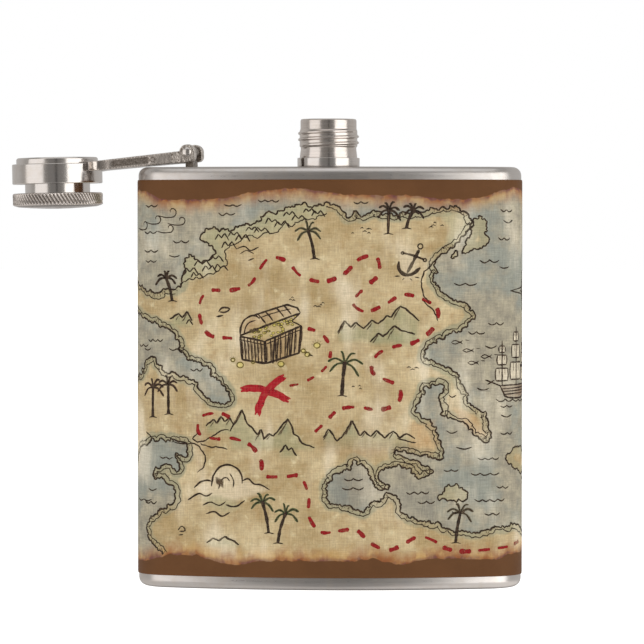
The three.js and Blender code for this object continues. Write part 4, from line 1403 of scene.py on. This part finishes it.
def sailing_ship(run, up):
    """A three-masted ship with plain sails."""
    def at(*points):
        return [(run + x * SHIP_STRETCH, up + z * SHIP_GROW) for x, z in points]

    paint(at((-2.3, 0), (4.2, 0.6), (3.2, -2.4), (-1.4, -2.6)), HULL, 0.8, 0.5)
    ink.curve(at((-2.5, 0.3), (-1.9, -1.4), (-1.1, -2.5), (2.8, -2.4), (4.3, 0.8)), 0.46)
    for lift in (0.1, -0.6, -1.2, -1.8):
        ink.straight(at((-2.4 - lift * 0.4, lift), (4.1 + lift * 0.3, lift + 0.3)), 0.3)
    ink.straight(at((-2.3, 0), (-4.6, 1.4)), 0.36)
    ink.straight(at((-4.3, 0.4), (-3.3, 1.3)), 0.3)
    for mast, tall, wide in ((-2.1, 8.4, 1.7), (0.7, 11.4, 2.3), (3.2, 9, 1.7)):
        ink.straight(at((mast, 0), (mast, tall + 1.6)), 0.34)
        for low, high in ((0.08, 0.42), (0.5, 0.76), (0.82, 1.0)):
            foot, top = tall * low + 0.5, tall * high + 0.4
            half = wide * (0.56 if low < 0.4 else 0.42 if low < 0.8 else 0.26)
            left, right, middle = mast - half, mast + half, (foot + top) / 2
            paint(at((left, foot), (right, foot), (right, top), (left, top)), PALE, 0.7, 0.4)
            ink.curve(at((left, top), (left - 0.12, middle), (left, foot)), 0.3)
            ink.curve(at((right, top), (right + 0.1, middle), (right, foot)), 0.3)
            ink.straight(at((left, foot), (right, foot)), 0.32)
            ink.straight(at((left, top), (right, top)), 0.32)
            for k in (-0.5, 0, 0.5):
                fold = mast + k * half
                ink.straight(at((fold, top - 0.2), (fold, top - (top - foot) * 0.5)), 0.15, PALE_INK)
    waves(run - 5.4, up - 3.9, 13, 5)


sailing_ship(46.75, 49.2)
sailing_ship(-78, 84)


def compass_star(run, up, size):
    """A plain eight-pointed star, without letters."""
    for share, width in ((0.42, 0.3), (0.5, 0.2)):
        ink.stroke(circle(run, up, share * size, 41), width, INK, 1.0)
    for k in range(8):
        way = np.array([math.cos(k * math.pi / 4), math.sin(k * math.pi / 4)])
        cross = np.array([-way[1], way[0]])
        reach = size if k % 2 == 0 else size * 0.62
        tip, foot = np.array([run, up]) + way * reach, np.array([run, up])
        for side in (-1, 1):
            ink.straight([tip, foot + (way + side * cross) * size * 0.13], 0.26)
        for step in range(4):
            start = foot + way * reach * (0.3 + step * 0.15)
            ink.straight([start, start + cross * size * 0.07 * (1 - step * 0.2)], 0.2)


compass_star(56.6, 72.2, 11)

# Curls of wind over the north-west sea
for run, up, size in (
        (-38.2, 91.3, 1.3), (-35.8, 89.3, 1.15), (-38.8, 87.4, 1.1), (-42.2, 89.6, 1.2),
        (-46.4, 88.2, 1.2)):
    turns = np.linspace(-math.pi / 2, 3.4, 14)
    reach = size * (1 - (turns + math.pi / 2) / 8)
    curl = list(zip(run + reach * np.cos(turns), up + reach * np.sin(turns)))
    ink.curve([(run - 3.6, up - size * 0.7), (run - 1.7, up - size * 1.05)] + curl, 0.26, INK, 0.03)

# Round the back: hills, palms and stones on the land and the big island
for run, up, tall, lean in (
        (70, 8.6, 5.2, 0.8), (84, 33.6, 6, -0.8), (-90, 58, 6.6, 1), (-66, 34, 6.4, -1), (96, 82, 3.6, 0.6),
        (-98, 30, 6.8, 0.8), (-58, 68.4, 4.6, 0.4)):
    palm(run, up, tall, lean, 3.0, LEAF)
for hills in (
        (31, True, (66, 33), (69, 36.4), (70.6, 34.6), (73.4, 38), (76, 34.8), (78.6, 36.4), (81, 33)),
        (44, True, (-104, 48), (-100, 53), (-97, 50), (-93, 56), (-89, 50.6), (-86, 53), (-82, 48),
         (-79, 50), (-76, 46.4)),
        (11.6, True, (-100, 14), (-97, 17.6), (-95, 15.6), (-91, 19.4), (-87, 15), (-84, 16.6), (-81, 13.6)),
        (38.8, True, (-70, 40.4), (-67.6, 43), (-66, 41.6), (-63.4, 44.6), (-60.4, 40.6))):
    range_of_hills(*hills)
for run, up in ((-86, 66), (-72, 70), (-84, 34), (-96, 24), (-76, 24), (72, 65.6), (-104, 60), (-64, 57)):
    stones(run, up, 5, 2.2)
    little_peaks(run + 3.2, up + 1.2, 1.7, 2)

# The route, and the crossed strokes where it leads
ROUTE = [
    (-22.7, 60.8), (-28.5, 61.5), (-30.9, 65.1), (-30.9, 69.9), (-28.3, 72.3), (-23.9, 72.3), (-18.6, 73.8),
    (-16.4, 77.2), (-13.6, 80.3), (-9.4, 79.3), (-6.3, 76), (-0.9, 74.5), (4.2, 76.4), (8, 80), (11.9, 80.5),
    (12.6, 76.4), (9.2, 73.1), (6.3, 69.5), (9.5, 67.3), (14.3, 69.2), (18.4, 71.4), (23.5, 70.2),
    (26.9, 67.5), (25.5, 63), (20.9, 59.8), (16.3, 58.9), (12.1, 56.9), (10.9, 53.1), (13.6, 51.2),
    (17.5, 49.2), (17.2, 45.4), (12.6, 43.7), (7.5, 44.4), (2.9, 43.7), (-0.4, 40.6), (-4.3, 37)]
dashes(ROUTE, 0.2)
WEST_ROUTE = [
    (-22.9, 41.4), (-26.1, 42.7), (-30.7, 41.8), (-31.4, 37.9), (-27.1, 36.5), (-23, 36.7), (-18.4, 35),
    (-15.9, 31.4), (-15.2, 27.8), (-9.9, 27.6), (-6.3, 27.6), (-4.3, 22.8), (-4.3, 18.2), (-1.4, 14.3),
    (3.2, 14.6), (7.1, 14.8), (10.5, 11.7), (14.6, 9.9), (18, 11), (22.1, 13.1), (25.7, 12.2), (28.9, 10.2),
    (33, 9.4), (37.6, 9.6), (41.9, 10), (45.6, 10.4), (50.5, 11.6)]
SHORT_ROUTE = [
    (-4.8, 63.4), (-1.2, 62), (0.9, 58.6), (0.3, 54.8), (-1.9, 52.4), (-5.8, 50.2), (-9.2, 49.4)]
dashes(WEST_ROUTE, 0.5)
dashes(SHORT_ROUTE, 0.1, 2.3, 1.9, 0.8)
for line in ([(-20.9, 48.3), (-18, 48.9), (-15.4, 48.6), (-12, 47.4), (-9, 45.7)],
             [(-10.1, 51.9), (-12.8, 49.8), (-14.9, 47.4), (-16.2, 44.8), (-17, 42.3)]):
    path = shaky(flowing(line, 0.25), 0.12, 1.4, line[0][0])
    for offset, wide, cut in ((0.0, 1.5, 2), (0.62, 0.5, 0), (-0.62, 0.5, 4), (0.3, 0.7, 1), (-0.32, 0.7, 0)):
        bristle = shaky(path + sideways(path) * offset, 0.14, 1.7, offset)
        route.stroke(bristle[cut:len(bristle) - cut], wide, CROSS_RED, 0.5, 0.03 + 0.002 * abs(offset))


SHEET_INNER = 0.03
RIM_PULL = 0.06


def printed_sheet():
    """The wrap: a thin coated sheet, finely divided outside, with its ends meeting behind."""
    x, y = kidney(grid_run, PRINT_OUT)
    outer = np.stack([x, y, grid_up], -1)
    for row in (0, -1):
        outer[:, row, 0], outer[:, row, 1] = kidney(grid_run[:, row], PRINT_OUT - RIM_PULL)
    rows = cells_up + 1
    inner_low = outer.shape[0] * rows
    inner_high = inner_low + len(sheet_run)
    x, y = kidney(sheet_run, SHEET_INNER)
    points, marks = [outer.reshape(-1, 3)], [np.column_stack([sheet, np.zeros(len(sheet))])]
    for level in (PRINT_LOW, PRINT_HIGH):
        height = np.full_like(x, level)
        points.append(np.stack([x, y, height], 1))
        marks.append(np.column_stack([sheet_run, height, np.zeros_like(x)]))
    faces = [(i * rows + j, (i + 1) * rows + j, (i + 1) * rows + j + 1, i * rows + j + 1)
             for i in range(cells_round) for j in range(cells_up)]
    for i in range(cells_round):
        a, b = i * rows, (i + 1) * rows
        faces.append((a, inner_low + i, inner_low + i + 1, b))
        faces.append((inner_low + i, inner_high + i, inner_high + i + 1, inner_low + i + 1))
        faces.append((inner_high + i, a + rows - 1, b + rows - 1, inner_high + i + 1))
    for i in (0, cells_round):
        faces.append(tuple(range(i * rows, i * rows + rows)) + (inner_high + i, inner_low + i))
    unseen = 2 * len(sheet_run)
    values = {"shore": np.concatenate([shore, np.full(unseen, -SHORE_REACH)]),
              "burn": np.concatenate([burn, np.full(unseen, -2.0)])}
    tints = {"wash": np.concatenate([wash, np.zeros((unseen, 4))])}
    made = solid("wrap_sheet", np.concatenate(points), faces, chart_print, np.concatenate(marks),
                 tints=tints, values=values)
    fit(made, "flask", "printed_wrap")


# The print's colours
LAND_DARK, LAND_LIGHT = srgb(151, 130, 91), srgb(185, 168, 133)
LAND_STAIN, LAND_PALE = srgb(146, 118, 78), srgb(204, 192, 157)
LAND_BY_SEA = srgb(141, 137, 111)
WATER_DARK, WATER_LIGHT, WATER_BLUE = srgb(130, 125, 112), srgb(160, 153, 133), srgb(124, 131, 126)
WORN = srgb(220, 210, 188)
AMBER_DARK, AMBER_LIGHT = srgb(140, 92, 54), srgb(178, 136, 72)
CHAR_PURPLE, CHAR_BROWN = srgb(92, 54, 58), srgb(126, 74, 44)
BAND_DARK, BAND_LIGHT = srgb(87, 57, 33), srgb(95, 63, 37)
WORN_INK = srgb(140, 116, 90)


def chart_build(tree):
    """Land and water with their washes, worn and woven, then the toasted and burnt edge and brown band."""
    marks = own_marks(tree)
    shore_at = own_marks(tree, "shore", "Fac")
    burn_at = own_marks(tree, "burn", "Fac")
    painted = add(tree, "ShaderNodeAttribute", attribute_name="wash", attribute_type="GEOMETRY").outputs
    blotch = speckle(tree, marks, 0.06, detail=5.0, rough=0.6)
    mottle = speckle(tree, marks, 0.34, detail=4.0, rough=0.6, offset=(2, 7, 0))
    grit = speckle(tree, marks, 2.4, detail=2.0, offset=(5, 1, 0))
    rub = use(tree, RUBBED, Marks=marks)[0]
    thread = use(tree, LINEN, Marks=marks)[0]
    land = mix(tree, rise(tree, blotch, 0.32, 0.68), LAND_DARK, LAND_LIGHT)
    land = mix(tree, rise(tree, mottle, 0.5, 0.75, 0, 0.5), land, LAND_STAIN)
    land = mix(tree, rise(tree, mottle, 0.45, 0.25, 0, 0.6), land, LAND_PALE)
    uneven = rise(tree, blotch, 0.35, 0.6, 0.45, 0.9)
    near_shore = maths(tree, "MULTIPLY", rise(tree, shore_at, -2.0, -1.3), uneven)
    land = mix(tree, near_shore, land, LAND_BY_SEA)
    water = mix(tree, rise(tree, mottle, 0.3, 0.7), WATER_DARK, WATER_LIGHT)
    water = mix(tree, rise(tree, blotch, 0.45, 0.6, 0, 0.7), water, WATER_BLUE)
    colour = mix(tree, rise(tree, shore_at, -0.15, 0.3, 0.0, 0.92), land, water)
    colour = mix(tree, maths(tree, "MULTIPLY", painted["Alpha"], rise(tree, mottle, 0.2, 0.8, 0.6, 1.0)),
                 colour, painted["Color"])
    colour = mix(tree, maths(tree, "MULTIPLY", rub, 0.5), colour, WORN)
    threads = rise(tree, thread, 0.6, 1.4, 0.84, 1.14)
    grain = maths(tree, "MULTIPLY", threads, rise(tree, grit, 0.3, 0.7, 0.95, 1.05))
    shade = add(tree, "ShaderNodeCombineColor", {0: grain, 1: grain, 2: grain}).outputs[0]
    colour = mix(tree, 1.0, colour, shade, "MULTIPLY")
    runs = add(tree, "ShaderNodeSeparateXYZ", {0: marks}).outputs[0]
    along = add(tree, "ShaderNodeCombineXYZ", {0: runs}).outputs[0]
    patch = speckle(tree, along, 0.11, detail=3.0)
    scorch = maths(tree, "MULTIPLY_ADD", mottle, 3.4, maths(tree, "MULTIPLY", patch, 3.6))
    ember = speckle(tree, marks, 0.24, stretch=(1.0, 0.6, 1.0), detail=4.0, rough=0.62, offset=(9, 4, 0))
    toast = rise(tree, maths(tree, "DIVIDE", burn_at, scorch), 0.0, 1.25, 1.0, 0.0)
    amber = mix(tree, rise(tree, ember, 0.42, 0.6), AMBER_DARK, AMBER_LIGHT)
    toast = maths(tree, "MULTIPLY", toast, rise(tree, ember, 0.3, 0.7, 0.95, 0.55))
    colour = mix(tree, toast, colour, amber)
    tongues = maths(tree, "MULTIPLY_ADD", ember, 3.6, -1.2)
    reach = maths(tree, "MULTIPLY_ADD", rise(tree, patch, 0.4, 0.6), 1.5, tongues)
    char = rise(tree, burn_at, 0.1, maths(tree, "MAXIMUM", reach, 0.3), 1.0, 0.0)
    tone = mix(tree, rise(tree, mottle, 0.46, 0.56), CHAR_PURPLE, CHAR_BROWN)
    char = maths(tree, "MULTIPLY", char, rise(tree, ember, 0.3, 0.6, 0.95, 0.6))
    colour = mix(tree, char, colour, tone)
    brown = mix(tree, rise(tree, blotch, 0.3, 0.7), BAND_DARK, BAND_LIGHT)
    band = rise(tree, burn_at, -0.12, 0.12, 1.0, 0.0)
    colour = mix(tree, band, colour, brown)
    rough = maths(tree, "MULTIPLY_ADD", band, -0.12, rise(tree, mottle, 0.2, 0.8, 0.6, 0.72))
    return {"Base Color": colour, "Roughness": rough, "Height": (thread, 0.012)}


def pen_build(wear_low, wear_high, least, patch=0.5):
    """Ink or paint that has worn through in patches, to least where it is thinnest."""
    def build(tree):
        marks = own_marks(tree)
        tint = own_marks(tree, "tint", "Color")
        rub = use(tree, RUBBED, Marks=marks)[0]
        thread = use(tree, LINEN, Marks=marks)[0]
        fade = speckle(tree, marks, patch, detail=4.0, rough=0.7, offset=(3, 3, 0))
        fade = rise(tree, fade, wear_low, wear_high, least, 1.0)
        fade = maths(tree, "MULTIPLY", fade, rise(tree, rub, 0.1, 1.0, 1.0, 0.5))
        fade = maths(tree, "MULTIPLY", fade, rise(tree, thread, 0.7, 1.0, 0.8, 1.0))
        lighter = mix(tree, rise(tree, thread, 0.9, 1.4, 0.0, 0.25), tint, WORN_INK)
        rough = rise(tree, thread, 0.6, 1.4, 0.6, 0.7)
        return {"Base Color": lighter, "Alpha": fade, "Roughness": rough, "Height": (thread, 0.008)}
    return build


chart_print = finish_of("chart_print", chart_build, Specular_IOR_Level=0.1)
chart_ink = finish_of("chart_ink", pen_build(0.2, 0.42, 0.6), Specular_IOR_Level=0.1)
route_paint = finish_of("route_paint", pen_build(0.34, 0.48, 0.62, 0.9), Specular_IOR_Level=0.1)
printed_sheet()
ink.made("chart_drawing", chart_ink)
route.made("chart_route", route_paint)

# The room that the metal reflects, side by side, and brighter low down
ROOM_MIDDLE = (0.265, 0.254, 0.243, 1)
ROOM_GAP = (0.10, 0.096, 0.092, 1)
ROOM_BACK = (0.66, 0.64, 0.62, 1)
ROOM_RIGHT = (0.50, 0.485, 0.465, 1)
ROOM_LEFT = (0.50, 0.48, 0.455, 1)
ROOM_TOP = (0.40, 0.39, 0.38, 1)
LOW_MIDDLE = (0.31, 0.297, 0.287, 1)
LOW_RIGHT = (1.1, 1.06, 1.02, 1)
LOW_LEFT = (0.78, 0.75, 0.72, 1)
FLOOR_GLOW = 1.0
SOFTBOXES = [
    {"name": "right_box", "azimuth": 56, "elevation": 4, "distance": 1.1, "width": 1.1, "height": 1.3,
     "radiance": 1.55, "tint": (1, 0.985, 0.965)},
    {"name": "left_box", "azimuth": -57, "elevation": 4, "distance": 1.1, "width": 1.0, "height": 1.3,
     "radiance": 0.86, "tint": (1, 0.97, 0.955)},
    {"name": "top_box", "azimuth": 0, "elevation": 80, "distance": 1.2, "width": 1.4, "height": 1.0,
     "radiance": 0.6},
    {"name": "front_fill", "azimuth": -20, "elevation": 12, "distance": 1.5, "width": 1.4, "height": 1.0,
     "radiance": 0.35, "glossy": False},
]

# Floor, studio and camera


def floor_build(tree):
    where = own_metres(tree)
    cloud = speckle(tree, where, 0.01, detail=2.0)
    colour = mix(tree, cloud, srgb(248, 248, 248), srgb(252, 252, 252))
    return {"Base Color": colour, "Emission Color": colour}


floor_finish = finish_of("pale_floor", floor_build, Roughness=0.9, Emission_Strength=FLOOR_GLOW)
floor_mesh = bpy.data.meshes.new("floor")
FLOOR_HALF = 6.0
FLOOR_TILES = 12
FLOOR_DROP = 0.00002
across = FLOOR_TILES + 1
edge = np.linspace(-FLOOR_HALF, FLOOR_HALF, across)
grid = [(x, y, 0.0) for y in edge for x in edge]
starts = [row * across + i for row in range(FLOOR_TILES) for i in range(FLOOR_TILES)]
tiles = [(i, i + 1, i + across + 1, i + across) for i in starts]
floor_mesh.from_pydata(grid, [], tiles)
floor_mesh.materials.append(floor_finish)
floor = bpy.data.objects.new("floor", floor_mesh)
scene.collection.objects.link(floor)
floor.location.z = cad_low.z - FLOOR_DROP
floor.visible_glossy = False

world = bpy.data.worlds.new("studio")
scene.world = world
world.use_nodes = True
tree = world.node_tree
room = tree.nodes["Background"]
way = add(tree, "ShaderNodeSeparateXYZ", {0: add(tree, "ShaderNodeTexCoord").outputs["Generated"]}).outputs
level = maths(tree, "SQRT", maths(tree, "ADD", maths(tree, "MULTIPLY", way[0], way[0]),
                                  maths(tree, "MULTIPLY", way[1], way[1])))
sideward = maths(tree, "DIVIDE", way[0], maths(tree, "MAXIMUM", level, 0.001))
gap = maths(tree, "MULTIPLY", rise(tree, sideward, 0.0, 0.03), rise(tree, sideward, 0.13, 0.1))
gap = maths(tree, "MULTIPLY", gap, rise(tree, way[1], 0.0, -0.1))
middle = mix(tree, gap, ROOM_MIDDLE, ROOM_GAP)
right_side = mix(tree, rise(tree, sideward, 0.26, 0.62), middle, ROOM_RIGHT)
walls = mix(tree, rise(tree, sideward, -0.26, -0.66), right_side, ROOM_LEFT)
walls = mix(tree, rise(tree, way[1], 0.0, 0.4, 0.0, 0.8), walls, ROOM_BACK)
low_right = mix(tree, rise(tree, sideward, 0.2, 0.6), LOW_MIDDLE, LOW_RIGHT)
low_walls = mix(tree, rise(tree, sideward, -0.2, -0.6), low_right, LOW_LEFT)
walls = mix(tree, rise(tree, way[2], -0.1, -0.45), walls, low_walls)
ceiling = mix(tree, rise(tree, way[2], 0.55, 0.85), walls, ROOM_TOP)
tree.links.new(ceiling, room.inputs["Color"])
seen = add(tree, "ShaderNodeBackground", {"Color": (1, 1, 1, 1), "Strength": 1.0})
ray = add(tree, "ShaderNodeLightPath")
choose = add(tree, "ShaderNodeMixShader", {0: ray.outputs["Is Camera Ray"]})
tree.links.new(room.outputs[0], choose.inputs[1])
tree.links.new(seen.outputs[0], choose.inputs[2])
tree.links.new(choose.outputs[0], tree.nodes["World Output"].inputs["Surface"])


LIT_HEIGHT = 0.06


def softbox(name, azimuth, elevation, distance, width, height, radiance, tint=(1, 1, 1), glossy=True):
    """A soft area light aimed at the middle of the flask. Azimuth 0 is in front, positive to the right."""
    data = bpy.data.lights.new(name, "AREA")
    data.shape, data.size, data.size_y = "RECTANGLE", width, height
    data.energy = radiance * math.pi * width * height
    data.color = tint
    lamp = bpy.data.objects.new(name, data)
    a, e = rad(azimuth), rad(elevation)
    away = Vector((math.sin(a) * math.cos(e), -math.cos(a) * math.cos(e), math.sin(e)))
    lamp.location = Vector((0, 0, LIT_HEIGHT)) + away * distance
    lamp.rotation_mode = "QUATERNION"
    lamp.rotation_quaternion = away.to_track_quat("Z", "Y")
    lamp.visible_glossy = glossy
    lamp.visible_camera = False
    scene.collection.objects.link(lamp)


for box in SOFTBOXES:
    softbox(**box)

EYE_HEIGHT = 0.0894
EYE_DISTANCE = 0.960
EYE_SIDE = rad(2.7)
EYE_DOWN = rad(1.482)
EYE_SHIFT = 0.00158
EYE_LENS = 221.0
camera = bpy.data.objects.new("camera", bpy.data.cameras.new("camera"))
scene.collection.objects.link(camera)
side, away = math.cos(EYE_SIDE), math.sin(EYE_SIDE)
eye_x = EYE_DISTANCE * away - EYE_SHIFT * side
eye_y = -EYE_DISTANCE * side - EYE_SHIFT * away
camera.location = (eye_x, eye_y, EYE_HEIGHT)
camera.rotation_euler = (math.pi / 2 - EYE_DOWN, 0, EYE_SIDE)
camera.data.lens = EYE_LENS
camera.data.sensor_width = 36.0
camera.data.clip_start, camera.data.clip_end = 0.05, 50
scene.camera = camera
scene.view_settings.view_transform = "Standard"
